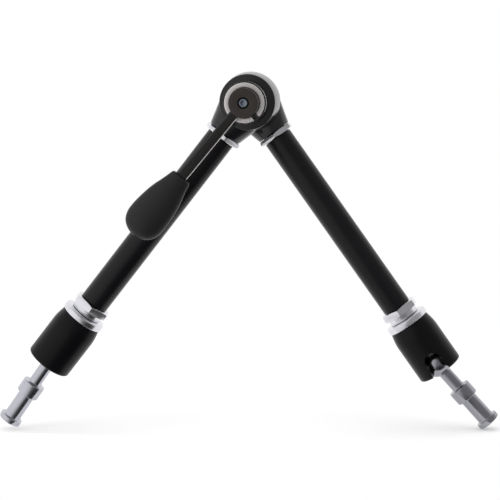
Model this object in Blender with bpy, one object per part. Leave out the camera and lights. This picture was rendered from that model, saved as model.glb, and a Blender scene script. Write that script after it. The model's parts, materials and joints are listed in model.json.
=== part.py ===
"""Articulating friction arm: two tubes on a central elbow, a ball joint and spigot on each, one lock lever.

The arm stands in an inverted V in the XZ plane. The elbow turns about Y, with its lever in front, towards -Y.
The origin is the centre of the base spigot's end face.
"""
import math

import bmesh
import bpy
from mathutils import Matrix, Vector

MM = 0.001
WELD_DISTANCE = MM / 1000
OVERCUT = 1.0 * MM

# Clearances
SEAT_GAP = 0.3 * MM
RUNNING_GAP = 0.3 * MM

# Pose of the arm at rest: directions in the XZ plane, turned from +X towards +Z
BASE_ARM_ANGLE = math.radians(232.24)
HEAD_ARM_ANGLE = math.radians(305.38)
BASE_STUD_LEAN = math.radians(3.0)
HEAD_STUD_LEAN = math.radians(6.9)
LEVER_LEAN = math.radians(-2.4)

# Elbow housings, two castings face to face; each has a boss on its drum, the front one taller
DRUM_RADIUS = 18.7 * MM
DRUM_FOOT_RADIUS = 20.4 * MM
DRUM_HEIGHT = 25.8 * MM
DRUM_EDGE = 0.8 * MM
BOSS_EDGE = 0.5 * MM
FRONT_BOSS_HEIGHT = 19.5 * MM
REAR_BOSS_HEIGHT = 5.7 * MM
SNOUT_RADIUS = 11.7 * MM
SNOUT_ROOT_HEIGHT = 22.6 * MM
SNOUT_REACH = 26.3 * MM
SNOUT_EDGE = 0.6 * MM
SNOUT_BURY = 0.15 * MM
HOUSING_RIM = 0.7 * MM
HOUSING_FLOOR = 2.8 * MM

# Friction washer between the housings
WASHER_RADIUS = 15.0 * MM
WASHER_BORE = 7.0 * MM
WASHER_THICKNESS = 1.4 * MM

# Wedges and the shaft that draws them together
SHAFT_RADIUS = 5.0 * MM
WEDGE_WALL = 1.4 * MM
WEDGE_TAPER_ANGLE = math.radians(18.5)
WEDGE_TAPER_LENGTH = 16.0 * MM
WEDGE_GUIDE_LENGTH = 4.0 * MM
SHAFT_HEAD_FLATS = 17.0 * MM
SHAFT_HEAD_HEIGHT = 3.0 * MM
THRUST_WASHER_THICKNESS = 1.6 * MM
THRUST_WASHER_RADIUS = 11.4 * MM
SPRING_WASHER_THICKNESS = 0.9 * MM
SPRING_WASHER_DISH = 0.6 * MM

# Rings and covers in the housings' outer ends
RING_WIDTH = 3.1 * MM
RING_THICKNESS = 3.6 * MM
RING_EDGE = 0.4 * MM
RING_SEAT_DEPTH = 2.2 * MM
RING_OPENING = 4.1 * MM
RING_OPENING_ANGLE = math.radians(-51.5)
RELEASE_TRAVEL = 1.2 * MM
COVER_CLEARANCE = 0.8 * MM
COVER_WALL = 2.2 * MM
COVER_EDGE = 0.8 * MM

# Lock lever, its grip and its screw
HUB_RADIUS = 9.8 * MM
HUB_RISE = 9.5 * MM
HUB_EDGE = 0.5 * MM
BAR_CLEARANCE = 1.8 * MM
BAR_THICKNESS = 5.0 * MM
BAR_ROOT_WIDTH = 6.4 * MM
BAR_TIP_WIDTH = 7.6 * MM
BAR_EDGE = 0.9 * MM
GRIP_START = 66.5 * MM
GRIP_LENGTH = 51.0 * MM
GRIP_NECK_WIDTH = 14.0 * MM
GRIP_WIDTH = 27.4 * MM
GRIP_WIDEST_SHARE = 0.68
GRIP_SWELL_POWER = 1.15
GRIP_END_POWER = 2.2
GRIP_MOUTH_EDGE = 1.5 * MM
GRIP_THICKNESS_RATIO = 0.55
GRIP_SOCKET_DEPTH = 24.0 * MM
SCREW_RADIUS = 2.4 * MM
SCREW_LENGTH = 13.0 * MM
SCREW_HEAD_RADIUS = 3.35 * MM
SCREW_HEAD_HEIGHT = 3.6 * MM
SCREW_HEAD_EDGE = 0.4 * MM
SCREW_HEX_FLATS = 3.8 * MM
SCREW_HEX_DEPTH = 2.2 * MM
COUNTERBORE_RADIUS = 4.2 * MM
COUNTERBORE_DEPTH = 4.4 * MM
SHAFT_SETBACK = 3.0 * MM
SCREW_HOLE_SPARE = 2.0 * MM

# Tubes, their nuts, and the rods inside them
TUBE_RADIUS = 10.0 * MM
TUBE_BORE_RADIUS = 7.3 * MM
TUBE_LENGTH = 144.2 * MM
TUBE_TAIL_RADIUS = 8.8 * MM
TUBE_SOCKET_DEPTH = 11.8 * MM
TUBE_EDGE = 0.4 * MM
JAM_NUT_THICKNESS = 3.6 * MM
NUT_FLATS = 24.0 * MM
NUT_CHAMFER = 0.9 * MM
NUT_CHAMFER_HEIGHT = 1.1 * MM
NUT_FACE_INSET = 0.2 * MM
END_NUT_HEIGHT = 5.4 * MM
END_NECK_RADIUS = 10.9 * MM
END_NECK_LENGTH = 3.7 * MM
ROD_RADIUS = 4.0 * MM
ROD_GUIDE_LENGTH = 10.0 * MM
ROD_SEAT_DEPTH = 3.0 * MM

# Swivel bush and ball sleeve
BUSH_RADIUS = 15.3 * MM
BUSH_THICKNESS = 4.5 * MM
BUSH_EDGE = 1.2 * MM
BUSH_SKIRT_RADIUS = 12.0 * MM
BUSH_SKIRT_LENGTH = 6.2 * MM
TAIL_COLLAR_LENGTH = 3.0 * MM
TAIL_COLLAR_RADIUS = 11.6 * MM
SLEEVE_LENGTH = 39.4 * MM
SLEEVE_TOP_RADIUS = 14.5 * MM
SLEEVE_RADIUS = 16.1 * MM
SLEEVE_FLARE_LENGTH = 11.0 * MM
SLEEVE_EDGE = 2.0 * MM
SLEEVE_TOP_EDGE = 0.4 * MM
SLEEVE_STEP_SPARE = 1.2 * MM
SLOT_WIDTH = 10.0 * MM
SLOT_ENTRY_WIDTH = 13.2 * MM

# Ball studs
BALL_RADIUS = 10.0 * MM
BALL_DEPTH = 5.6 * MM
PAD_LENGTH = 12.0 * MM
STEM_RADIUS = 4.55 * MM
STEM_REACH = 23.2 * MM
SPIGOT_RADIUS = 8.0 * MM
SPIGOT_COLLAR_LENGTH = 9.7 * MM
SPIGOT_NECK_RADIUS = 5.8 * MM
SPIGOT_NECK_LENGTH = 19.1 * MM
SPIGOT_FLANGE_LENGTH = 3.8 * MM
SPIGOT_EDGE = 0.8 * MM

# Size of the empties on the joints' axes
AXIS_DISPLAY_SIZE = 20 * MM

# Facets round a full turn
WIDE_SIDES = 32
MID_SIDES = 24
SMALL_SIDES = 16

# Heights from the parting plane, outwards along the pivot
ARM_OFFSET = 14.0 * MM
HOUSING_FACE = SEAT_GAP / 2
RECESS_FLOOR = WASHER_THICKNESS / 2 + SEAT_GAP
CAVITY_FLOOR = RECESS_FLOOR + HOUSING_FLOOR
WEDGE_START = CAVITY_FLOOR + SEAT_GAP
WEDGE_LENGTH = WEDGE_TAPER_LENGTH + WEDGE_GUIDE_LENGTH
WEDGE_END = WEDGE_START + WEDGE_LENGTH
FRONT_TOP = DRUM_HEIGHT + FRONT_BOSS_HEIGHT
REAR_TOP = DRUM_HEIGHT + REAR_BOSS_HEIGHT
RING_FOOT = FRONT_TOP - RING_SEAT_DEPTH + SEAT_GAP
RING_TOP = RING_FOOT + RING_THICKNESS
THRUST_WASHER_FOOT = WEDGE_END + SEAT_GAP
THRUST_WASHER_END = THRUST_WASHER_FOOT + THRUST_WASHER_THICKNESS
HUB_FOOT = THRUST_WASHER_END + SEAT_GAP
HUB_TOP = FRONT_TOP + HUB_RISE
BAR_FOOT = RING_TOP + BAR_CLEARANCE
COUNTERBORE_FLOOR = HUB_TOP - COUNTERBORE_DEPTH
SCREW_HEAD_FOOT = COUNTERBORE_FLOOR + SEAT_GAP
SHAFT_FRONT = COUNTERBORE_FLOOR - SHAFT_SETBACK
SPRING_WASHER_FOOT = WEDGE_END + SEAT_GAP
SHAFT_HEAD_FOOT = SPRING_WASHER_FOOT + SPRING_WASHER_THICKNESS + SPRING_WASHER_DISH + SEAT_GAP
SHAFT_HEAD_END = SHAFT_HEAD_FOOT + SHAFT_HEAD_HEIGHT
COVER_FOOT = REAR_TOP - RING_SEAT_DEPTH + SEAT_GAP
COVER_INSIDE = SHAFT_HEAD_END + RELEASE_TRAVEL + COVER_CLEARANCE
COVER_OUTSIDE = COVER_INSIDE + COVER_WALL

# Radii about the pivot
WEDGE_SMALL_RADIUS = SHAFT_RADIUS + RUNNING_GAP + WEDGE_WALL
WEDGE_RADIUS = WEDGE_SMALL_RADIUS + WEDGE_TAPER_LENGTH * math.tan(WEDGE_TAPER_ANGLE)
CAVITY_RADIUS = WEDGE_RADIUS + RUNNING_GAP
RING_BORE = HUB_RADIUS + RUNNING_GAP
RING_RADIUS = RING_BORE + RING_WIDTH
RING_SEAT_RADIUS = RING_RADIUS + SEAT_GAP
BOSS_RADIUS = RING_SEAT_RADIUS + HOUSING_RIM

# Distances from the pivot, along an arm
JAM_NUT_START = SNOUT_REACH + SEAT_GAP
TUBE_START = JAM_NUT_START + JAM_NUT_THICKNESS + SEAT_GAP
TUBE_FOOT = SNOUT_REACH - TUBE_SOCKET_DEPTH + SEAT_GAP
TUBE_END = TUBE_START + TUBE_LENGTH
END_NUT_START = TUBE_END + SEAT_GAP
NECK_START = END_NUT_START + END_NUT_HEIGHT
BUSH_START = NECK_START + END_NECK_LENGTH + RUNNING_GAP
BUSH_SEAT = BUSH_START + BUSH_THICKNESS
SLEEVE_START = BUSH_SEAT + SEAT_GAP
BUSH_END = BUSH_SEAT + BUSH_SKIRT_LENGTH
COLLAR_START = BUSH_END + RUNNING_GAP
TAIL_END = COLLAR_START + TAIL_COLLAR_LENGTH
SLEEVE_STEP = TAIL_END + SLEEVE_STEP_SPARE
SLEEVE_END = SLEEVE_START + SLEEVE_LENGTH
BALL_DISTANCE = SLEEVE_END - BALL_DEPTH
SEAT_RADIUS = BALL_RADIUS + RUNNING_GAP
PAD_RADIUS = SEAT_RADIUS - RUNNING_GAP
PAD_END = BALL_DISTANCE - BALL_RADIUS / 2
PAD_START = PAD_END - PAD_LENGTH
SOCKET_RADIUS = TUBE_TAIL_RADIUS + SEAT_GAP
ROD_BORE = ROD_RADIUS + RUNNING_GAP
ROD_END = PAD_START + ROD_SEAT_DEPTH

# Distances from the ball's centre, along a stud
COLLAR_END = STEM_REACH + SPIGOT_COLLAR_LENGTH
NECK_END = COLLAR_END + SPIGOT_NECK_LENGTH
STUD_REACH = NECK_END + SPIGOT_FLANGE_LENGTH

# Turns a shape's own Z axis to an arm's -Y, which points out of the elbow
OUTWARDS = Matrix.Rotation(math.radians(90), 4, "X")


def clear_scene():
    for item in list(bpy.data.objects):
        bpy.data.objects.remove(item, do_unlink=True)


def material(name, color, roughness, metallic):
    made = bpy.data.materials.new(name)
    made.use_nodes = True
    shader = made.node_tree.nodes["Principled BSDF"]
    shader.inputs["Base Color"].default_value = (*color, 1.0)
    shader.inputs["Roughness"].default_value = roughness
    shader.inputs["Metallic"].default_value = metallic
    return made


def add_object(name, mesh, parent=None, place=Matrix.Identity(4)):
    item = bpy.data.objects.new(name, mesh)
    bpy.context.collection.objects.link(item)
    item.parent = parent
    item.matrix_local = place
    return item


def axis_empty(name, place):
    """An empty on a joint's axis, which carries the pieces that are built about it."""
    item = add_object(name, None, place=place)
    item.empty_display_size = AXIS_DISPLAY_SIZE
    return item


def frame(origin, x_axis, y_axis, z_axis):
    turned_axes = Matrix((x_axis, y_axis, z_axis)).transposed().to_4x4()
    return Matrix.Translation(origin) @ turned_axes


def mesh_from(name, shape, turn):
    bmesh.ops.recalc_face_normals(shape, faces=shape.faces)
    mesh = bpy.data.meshes.new(name)
    shape.transform(turn)
    shape.to_mesh(mesh)
    shape.free()
    mesh.shade_smooth()
    mesh.set_sharp_from_angle(angle=math.radians(35))
    return mesh


def arc(center, radius, start, end, steps):
    """Points along an arc in the (radius, height) plane, angles in degrees from the outward direction."""
    angles = [math.radians(start + (end - start) * i / steps) for i in range(steps + 1)]
    return [(center[0] + radius * math.cos(a), center[1] + radius * math.sin(a)) for a in angles]


def turned(name, outline, sides, turn=Matrix.Identity(4)):
    """A solid turned about Z from a closed outline of (radius, height) points."""
    shape = bmesh.new()
    verts = [shape.verts.new((radius, 0, height)) for radius, height in outline]
    for start, end in zip(verts, verts[1:] + verts[:1]):
        if start.co.x > 0 or end.co.x > 0:
            shape.edges.new((start, end))
    bmesh.ops.spin(shape, geom=verts + shape.edges[:], cent=(0, 0, 0), axis=(0, 0, 1),
                   angle=2 * math.pi, steps=sides, use_merge=True)
    bmesh.ops.remove_doubles(shape, verts=shape.verts, dist=WELD_DISTANCE)
    return mesh_from(name, shape, turn)


def ring(radius, bore, start, end):
    """Outline of a plain ring."""
    return [(bore, start), (radius, start), (radius, end), (bore, end)]


def chamfered_ring(radius, bore, start, end, edge):
    """Outline of a ring whose outer edges are chamfered."""
    return [(bore, start), (radius - edge, start), (radius, start + edge), (radius, end - edge),
            (radius - edge, end), (bore, end)]


def plate(name, outline, start, end, turn=Matrix.Identity(4)):
    """A flat outline in the XY plane, extruded along Z from start to end."""
    shape = bmesh.new()
    face = shape.faces.new([shape.verts.new((x, y, start)) for x, y in outline])
    grown = bmesh.ops.extrude_face_region(shape, geom=[face])
    top = [part for part in grown["geom"] if isinstance(part, bmesh.types.BMVert)]
    bmesh.ops.translate(shape, verts=top, vec=(0, 0, end - start))
    return mesh_from(name, shape, turn)


def hexagon(flats):
    reach = flats / 2 / math.cos(math.radians(30))
    corners = [math.radians(60 * i) for i in range(6)]
    return [(reach * math.cos(a), reach * math.sin(a)) for a in corners]


def combine(target, tool_name, mesh, operation, place=Matrix.Identity(4)):
    """Cuts, joins or intersects a piece with a hidden tool body."""
    tool = add_object(tool_name, mesh, target, place)
    tool.hide_render = True
    tool.display_type = "WIRE"
    step = target.modifiers.new(tool_name, "BOOLEAN")
    step.operation = operation
    step.solver = "EXACT"
    step.object = tool
    return tool


def bevel_edges(item, width, segments=1):
    step = item.modifiers.new("edges", "BEVEL")
    step.width = width
    step.segments = segments
    step.limit_method = "ANGLE"
    step.angle_limit = math.radians(40)


def assign(item, finish):
    if not item.data.materials:
        item.data.materials.append(finish)


def snout_angle():
    """Half angle of the snout's cone, whose sides run tangent to the drum in plan."""
    drum = DRUM_RADIUS - SNOUT_BURY
    return math.asin(drum / math.hypot(SNOUT_REACH, SNOUT_RADIUS)) - math.atan2(SNOUT_RADIUS, SNOUT_REACH)


def drum_mesh(top):
    """The casting's round body: a slightly tapered drum, and the boss on it that reaches to the top."""
    edge = arc((DRUM_RADIUS - DRUM_EDGE, DRUM_HEIGHT - DRUM_EDGE), DRUM_EDGE, 0, 90, 2)
    boss = [(BOSS_RADIUS, DRUM_HEIGHT), (BOSS_RADIUS, top - BOSS_EDGE), (BOSS_RADIUS - BOSS_EDGE, top)]
    outline = [(0, -OVERCUT), (DRUM_FOOT_RADIUS, -OVERCUT)] + edge + boss + [(0, top)]
    return turned("drum", outline, WIDE_SIDES, OUTWARDS)


def snout_mesh():
    """A flattened cone along the arm that narrows from the drum's sides to the round mouth."""
    angle = snout_angle()
    drum = DRUM_RADIUS - SNOUT_BURY
    start = drum * math.sin(angle)
    root_radius = drum * math.cos(angle)
    edge_start = SNOUT_REACH - SNOUT_EDGE
    edge_radius = SNOUT_RADIUS + SNOUT_EDGE * math.tan(angle)
    outline = [(0, start), (root_radius, start), (edge_radius, edge_start),
               (SNOUT_RADIUS - SNOUT_EDGE / 2, SNOUT_REACH), (0, SNOUT_REACH)]
    mesh = turned("snout", outline, WIDE_SIDES)
    flatness = SNOUT_ROOT_HEIGHT / (2 * root_radius)
    for vert in mesh.vertices:
        if vert.co.z < (start + edge_start) / 2:
            vert.co.y *= flatness
    shape = bmesh.new()
    shape.from_mesh(mesh)
    bmesh.ops.triangulate(shape, faces=shape.faces)
    shape.to_mesh(mesh)
    shape.free()
    return mesh


def cavity_mesh(top):
    """Everything that is bored from the casting about the pivot, and all beyond its mating face."""
    beyond = 2 * (SNOUT_REACH + DRUM_FOOT_RADIUS)
    shaft_bore = SHAFT_RADIUS + RUNNING_GAP
    recess = WASHER_RADIUS + SEAT_GAP
    seat = top - RING_SEAT_DEPTH
    outline = [(0, -beyond), (beyond, -beyond), (beyond, HOUSING_FACE), (recess, HOUSING_FACE),
               (recess, RECESS_FLOOR), (shaft_bore, RECESS_FLOOR), (shaft_bore, CAVITY_FLOOR),
               (CAVITY_RADIUS, CAVITY_FLOOR), (CAVITY_RADIUS, seat), (RING_SEAT_RADIUS, seat),
               (RING_SEAT_RADIUS, top + OVERCUT), (0, top + OVERCUT)]
    return turned("cavity", outline, WIDE_SIDES, OUTWARDS)


def socket_mesh():
    """The stepped bore along the arm: the rod's passage, then the tube's threaded socket."""
    step = SNOUT_REACH - TUBE_SOCKET_DEPTH
    outline = [(0, 0), (ROD_BORE, 0), (ROD_BORE, step), (SOCKET_RADIUS, step),
               (SOCKET_RADIUS, SNOUT_REACH + OVERCUT), (0, SNOUT_REACH + OVERCUT)]
    return turned("socket", outline, MID_SIDES)


def housing(name, top, arm, finish):
    item = add_object(name, drum_mesh(top), arm)
    on_axis = Matrix.Translation((0, -ARM_OFFSET, 0))
    combine(item, name + "_snout", snout_mesh(), "UNION", on_axis)
    half_facet = Matrix.Rotation(math.pi / WIDE_SIDES, 4, "Y")
    combine(item, name + "_cavity", cavity_mesh(top), "DIFFERENCE", half_facet)
    combine(item, name + "_socket", socket_mesh(), "DIFFERENCE", on_axis)
    assign(item, finish)


def wedge_mesh():
    """A turned cone whose taper drives the push rod outwards."""
    bore = SHAFT_RADIUS + RUNNING_GAP
    taper_end = WEDGE_START + WEDGE_TAPER_LENGTH
    outline = [(bore, WEDGE_START), (WEDGE_SMALL_RADIUS, WEDGE_START), (WEDGE_RADIUS, taper_end),
               (WEDGE_RADIUS, WEDGE_END), (bore, WEDGE_END)]
    return turned("wedge", outline, MID_SIDES)


def spring_washer_mesh():
    """A dished spring washer: its inner edge stands proud of its outer edge."""
    bore = SHAFT_RADIUS + RUNNING_GAP
    rim = WEDGE_RADIUS - WEDGE_WALL
    foot = SPRING_WASHER_FOOT
    high = foot + SPRING_WASHER_DISH
    outline = [(bore, high), (rim, foot), (rim, foot + SPRING_WASHER_THICKNESS),
               (bore, high + SPRING_WASHER_THICKNESS)]
    return turned("spring_washer", outline, MID_SIDES)


def pivot_shaft(rear_axis, finish):
    """A hexagon-head bolt through both wedges; its far end is bored for the lever's screw."""
    head = plate("pivot_shaft", hexagon(SHAFT_HEAD_FLATS), SHAFT_HEAD_FOOT, SHAFT_HEAD_END)
    item = add_object("pivot_shaft", head, rear_axis)
    shank_end = (SHAFT_HEAD_FOOT + SHAFT_HEAD_END) / 2
    shank = [(0, -SHAFT_FRONT), (SHAFT_RADIUS, -SHAFT_FRONT), (SHAFT_RADIUS, shank_end), (0, shank_end)]
    combine(item, "pivot_shaft_shank", turned("shank", shank, MID_SIDES), "UNION")
    hole = SCREW_RADIUS + RUNNING_GAP
    depth = SCREW_LENGTH + SCREW_HOLE_SPARE
    bore = [(0, -SHAFT_FRONT - OVERCUT), (hole, -SHAFT_FRONT - OVERCUT), (hole, -SHAFT_FRONT + depth),
            (0, -SHAFT_FRONT + depth)]
    combine(item, "pivot_shaft_bore", turned("shaft_bore", bore, SMALL_SIDES), "DIFFERENCE")
    assign(item, finish)


def retaining_ring(front_axis, finish):
    """A C-shaped ring pressed into the front housing round the hub."""
    outline = chamfered_ring(RING_RADIUS, RING_BORE, RING_FOOT, RING_TOP, RING_EDGE)
    item = add_object("retaining_ring", turned("retaining_ring", outline, WIDE_SIDES), front_axis)
    half = RING_OPENING / 2
    gap = [(0, -half), (2 * RING_RADIUS, -half), (2 * RING_RADIUS, half), (0, half)]
    turn = Matrix.Rotation(RING_OPENING_ANGLE, 4, "Z")
    cutter = plate("ring_gap", gap, RING_FOOT - OVERCUT, RING_TOP + OVERCUT)
    combine(item, "retaining_ring_gap", cutter, "DIFFERENCE", turn)
    assign(item, finish)


def rear_cover(rear_axis, finish):
    """A shallow cap that closes the rear housing over the shaft's head."""
    lip = RING_RADIUS - COVER_WALL
    outline = [(0, COVER_INSIDE), (lip, COVER_INSIDE), (lip, COVER_FOOT), (RING_RADIUS, COVER_FOOT),
               (RING_RADIUS, COVER_OUTSIDE - COVER_EDGE), (RING_RADIUS - COVER_EDGE, COVER_OUTSIDE),
               (0, COVER_OUTSIDE)]
    assign(add_object("rear_cover", turned("rear_cover", outline, WIDE_SIDES), rear_axis), finish)


def lock_lever(lever_axis, finish):
    """Hub and flat bar in one forging, counterbored for its screw. X runs along the bar."""
    hub = [(0, HUB_FOOT), (HUB_RADIUS, HUB_FOOT), (HUB_RADIUS, HUB_TOP - HUB_EDGE),
           (HUB_RADIUS - HUB_EDGE, HUB_TOP), (0, HUB_TOP)]
    item = add_object("lock_lever", turned("lock_lever", hub, WIDE_SIDES), lever_axis)
    tip = GRIP_START + GRIP_SOCKET_DEPTH - SEAT_GAP
    root, end = BAR_ROOT_WIDTH / 2, BAR_TIP_WIDTH / 2
    bar_outline = [(HUB_RADIUS / 2, -root), (tip, -end), (tip, end), (HUB_RADIUS / 2, root)]
    bar_plate = plate("lever_bar", bar_outline, BAR_FOOT, BAR_FOOT + BAR_THICKNESS)
    bar = combine(item, "lever_bar", bar_plate, "UNION")
    bevel_edges(bar, BAR_EDGE)
    bore = SHAFT_RADIUS + RUNNING_GAP
    hole = SCREW_RADIUS + RUNNING_GAP
    bore_end = SHAFT_FRONT + SEAT_GAP
    outline = [(0, HUB_FOOT - OVERCUT), (bore, HUB_FOOT - OVERCUT), (bore, bore_end), (hole, bore_end),
               (hole, COUNTERBORE_FLOOR), (COUNTERBORE_RADIUS, COUNTERBORE_FLOOR),
               (COUNTERBORE_RADIUS, HUB_TOP + OVERCUT), (0, HUB_TOP + OVERCUT)]
    combine(item, "lever_bore", turned("lever_bore", outline, MID_SIDES), "DIFFERENCE")
    assign(item, finish)


def lever_screw(lever_axis, finish):
    """A socket-head screw through the hub into the shaft."""
    top = SCREW_HEAD_FOOT + SCREW_HEAD_HEIGHT
    foot = SCREW_HEAD_FOOT - SCREW_LENGTH
    outline = [(0, foot), (SCREW_RADIUS, foot), (SCREW_RADIUS, SCREW_HEAD_FOOT),
               (SCREW_HEAD_RADIUS, SCREW_HEAD_FOOT), (SCREW_HEAD_RADIUS, top - SCREW_HEAD_EDGE),
               (SCREW_HEAD_RADIUS - SCREW_HEAD_EDGE, top), (0, top)]
    item = add_object("lever_screw", turned("lever_screw", outline, SMALL_SIDES), lever_axis)
    recess = plate("screw_recess", hexagon(SCREW_HEX_FLATS), top - SCREW_HEX_DEPTH, top + OVERCUT)
    combine(item, "lever_screw_recess", recess, "DIFFERENCE")
    assign(item, finish)


def grip_radius(share):
    """Half width of the grip: it swells from the neck to its widest at two thirds, then rounds off."""
    neck, wide = GRIP_NECK_WIDTH / 2, GRIP_WIDTH / 2
    if share <= GRIP_WIDEST_SHARE:
        return neck + (wide - neck) * math.sin(math.pi / 2 * share / GRIP_WIDEST_SHARE) ** GRIP_SWELL_POWER
    beyond = (share - GRIP_WIDEST_SHARE) / (1 - GRIP_WIDEST_SHARE)
    return wide * math.sqrt(1 - beyond ** GRIP_END_POWER)


def lever_grip(lever_axis, finish):
    """A moulded egg-shaped grip, flattened front to back, with a slot for the bar's end."""
    shares = [0.06, 0.16, 0.28, 0.4, 0.52, 0.62, 0.7, 0.78, 0.85, 0.91, 0.96, 0.99]
    outline = [(0, 0), (GRIP_NECK_WIDTH / 2 - GRIP_MOUTH_EDGE, 0)]
    outline += [(grip_radius(share), GRIP_LENGTH * share) for share in shares] + [(0, GRIP_LENGTH)]
    flatten = Matrix.Diagonal((GRIP_THICKNESS_RATIO, 1, 1, 1))
    along_bar = Matrix.Rotation(math.radians(90), 4, "Y")
    grip_mouth = Matrix.Translation((GRIP_START, 0, BAR_FOOT + BAR_THICKNESS / 2))
    form = turned("lever_grip", outline, MID_SIDES, along_bar @ flatten)
    item = add_object("lever_grip", form, lever_axis, grip_mouth)
    half_width = BAR_TIP_WIDTH / 2 + SEAT_GAP
    half_height = BAR_THICKNESS / 2 + SEAT_GAP
    slot = [(-OVERCUT, -half_width), (GRIP_SOCKET_DEPTH, -half_width), (GRIP_SOCKET_DEPTH, half_width),
            (-OVERCUT, half_width)]
    combine(item, "lever_grip_slot", plate("grip_slot", slot, -half_height, half_height), "DIFFERENCE")
    assign(item, finish)


def tube_mesh():
    """A drawn tube, turned down and threaded at both ends."""
    outline = [(TUBE_BORE_RADIUS, TUBE_FOOT), (TUBE_TAIL_RADIUS, TUBE_FOOT), (TUBE_TAIL_RADIUS, TUBE_START),
               (TUBE_RADIUS - TUBE_EDGE, TUBE_START), (TUBE_RADIUS, TUBE_START + TUBE_EDGE),
               (TUBE_RADIUS, TUBE_END - TUBE_EDGE), (TUBE_RADIUS - TUBE_EDGE, TUBE_END),
               (TUBE_TAIL_RADIUS, TUBE_END), (TUBE_TAIL_RADIUS, TAIL_END), (TUBE_BORE_RADIUS, TAIL_END)]
    return turned("tube", outline, MID_SIDES)


def nut(name, start, height, neck_length, line, finish):
    """A hexagon nut with chamfered corners, and a round neck beyond the hexagon if it has a length."""
    end = start + height
    neck_end = end + neck_length
    corner = NUT_FLATS / 2 / math.cos(math.radians(30)) + NUT_CHAMFER
    face = NUT_FLATS / 2 - NUT_FACE_INSET
    item = add_object(name, plate(name, hexagon(NUT_FLATS), start - OVERCUT, neck_end + OVERCUT), line)
    outline = [(SOCKET_RADIUS, start), (face, start), (corner, start + NUT_CHAMFER_HEIGHT),
               (corner, end - NUT_CHAMFER_HEIGHT), (face, end)]
    if neck_length > 0:
        outline += [(END_NECK_RADIUS, end), (END_NECK_RADIUS, neck_end)]
    outline += [(SOCKET_RADIUS, neck_end)]
    combine(item, name + "_turned", turned("nut_form", outline, MID_SIDES), "INTERSECT")
    assign(item, finish)


def rod_mesh():
    """The push rod, with a domed nose that rides on the wedge's taper."""
    taper_height = ARM_OFFSET - WEDGE_START
    taper_radius = WEDGE_SMALL_RADIUS + taper_height * math.tan(WEDGE_TAPER_ANGLE)
    nose_center = taper_radius + (ROD_RADIUS + SEAT_GAP) / math.cos(WEDGE_TAPER_ANGLE)
    nose = arc((0, nose_center), ROD_RADIUS, -90, 0, 4)
    outline = [(0, nose[0][1])] + nose[1:] + [(ROD_RADIUS, ROD_END - SEAT_GAP), (0, ROD_END - SEAT_GAP)]
    return turned("push_rod", outline, SMALL_SIDES)


def guide_mesh():
    outline = ring(TUBE_BORE_RADIUS - SEAT_GAP, ROD_BORE, TAIL_END - ROD_GUIDE_LENGTH, TAIL_END)
    return turned("rod_guide", outline, MID_SIDES)


def bush_mesh():
    """The bright flange that turns on the tube's tail; its skirt screws into the sleeve."""
    edge = arc((BUSH_RADIUS - BUSH_EDGE, BUSH_START + BUSH_EDGE), BUSH_EDGE, -90, 0, 3)
    skirt = [(BUSH_RADIUS, BUSH_SEAT), (BUSH_SKIRT_RADIUS, BUSH_SEAT), (BUSH_SKIRT_RADIUS, BUSH_END),
             (SOCKET_RADIUS, BUSH_END)]
    return turned("swivel_bush", [(SOCKET_RADIUS, BUSH_START)] + edge + skirt, MID_SIDES)


def sleeve_mesh():
    """The ball sleeve's shell: flared outside; thread bore, pad bore and spherical seat inside."""
    steps = 4
    flare = []
    for i in range(steps + 1):
        share = i / steps
        swell = math.sin(math.pi / 2 * share)
        flare.append((SLEEVE_TOP_RADIUS + (SLEEVE_RADIUS - SLEEVE_TOP_RADIUS) * swell,
                      SLEEVE_START + SLEEVE_TOP_EDGE + (SLEEVE_FLARE_LENGTH - SLEEVE_TOP_EDGE) * share))
    rounded = arc((SLEEVE_RADIUS - SLEEVE_EDGE, SLEEVE_END - SLEEVE_EDGE), SLEEVE_EDGE, 0, 90, 4)
    lip = math.degrees(math.asin(BALL_DEPTH / SEAT_RADIUS))
    seat = arc((0, BALL_DISTANCE), SEAT_RADIUS, lip, 0, 4)
    thread = BUSH_SKIRT_RADIUS + SEAT_GAP
    top = [(thread, SLEEVE_START), (SLEEVE_TOP_RADIUS - SLEEVE_TOP_EDGE, SLEEVE_START)]
    bores = [(SEAT_RADIUS, SLEEVE_STEP), (thread, SLEEVE_STEP)]
    return turned("ball_sleeve", top + flare + rounded + seat + bores, WIDE_SIDES)


def slot_mesh():
    """The U slot from the sleeve's open end to the ball's centre, wider at its entry."""
    half, entry = SLOT_WIDTH / 2, SLOT_ENTRY_WIDTH / 2
    beyond = SLEEVE_END + OVERCUT
    steps = 4
    flare = [(half + (entry - half) * (i / steps) ** 2, BALL_DISTANCE + BALL_DEPTH * i / steps)
             for i in range(steps + 1)]
    sides = flare + [(entry + (entry - half) * 0.4, beyond)]
    end = arc((0, BALL_DISTANCE), half, -180, 0, 8)
    outline = [(-x, z) for x, z in reversed(sides[1:])] + end + sides[1:]
    upright = Matrix(((1, 0, 0, 0), (0, 0, 1, 0), (0, 1, 0, 0), (0, 0, 0, 1)))
    shape = plate("slot", outline, SLOT_WIDTH / 2, 2 * SLEEVE_RADIUS, upright)
    shape.flip_normals()
    return shape


def pad_mesh():
    """The pressure pad between rod and ball: a blind seat behind and a spherical one in front."""
    rim = math.degrees(math.asin((PAD_END - BALL_DISTANCE) / SEAT_RADIUS))
    bowl = arc((0, BALL_DISTANCE), SEAT_RADIUS, rim, -90, 5)
    bowl[-1] = (0, bowl[-1][1])
    outline = [(0, ROD_END), (ROD_BORE, ROD_END), (ROD_BORE, PAD_START), (PAD_RADIUS, PAD_START),
               (PAD_RADIUS, PAD_END)]
    return turned("ball_pad", outline + bowl, MID_SIDES)


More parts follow.
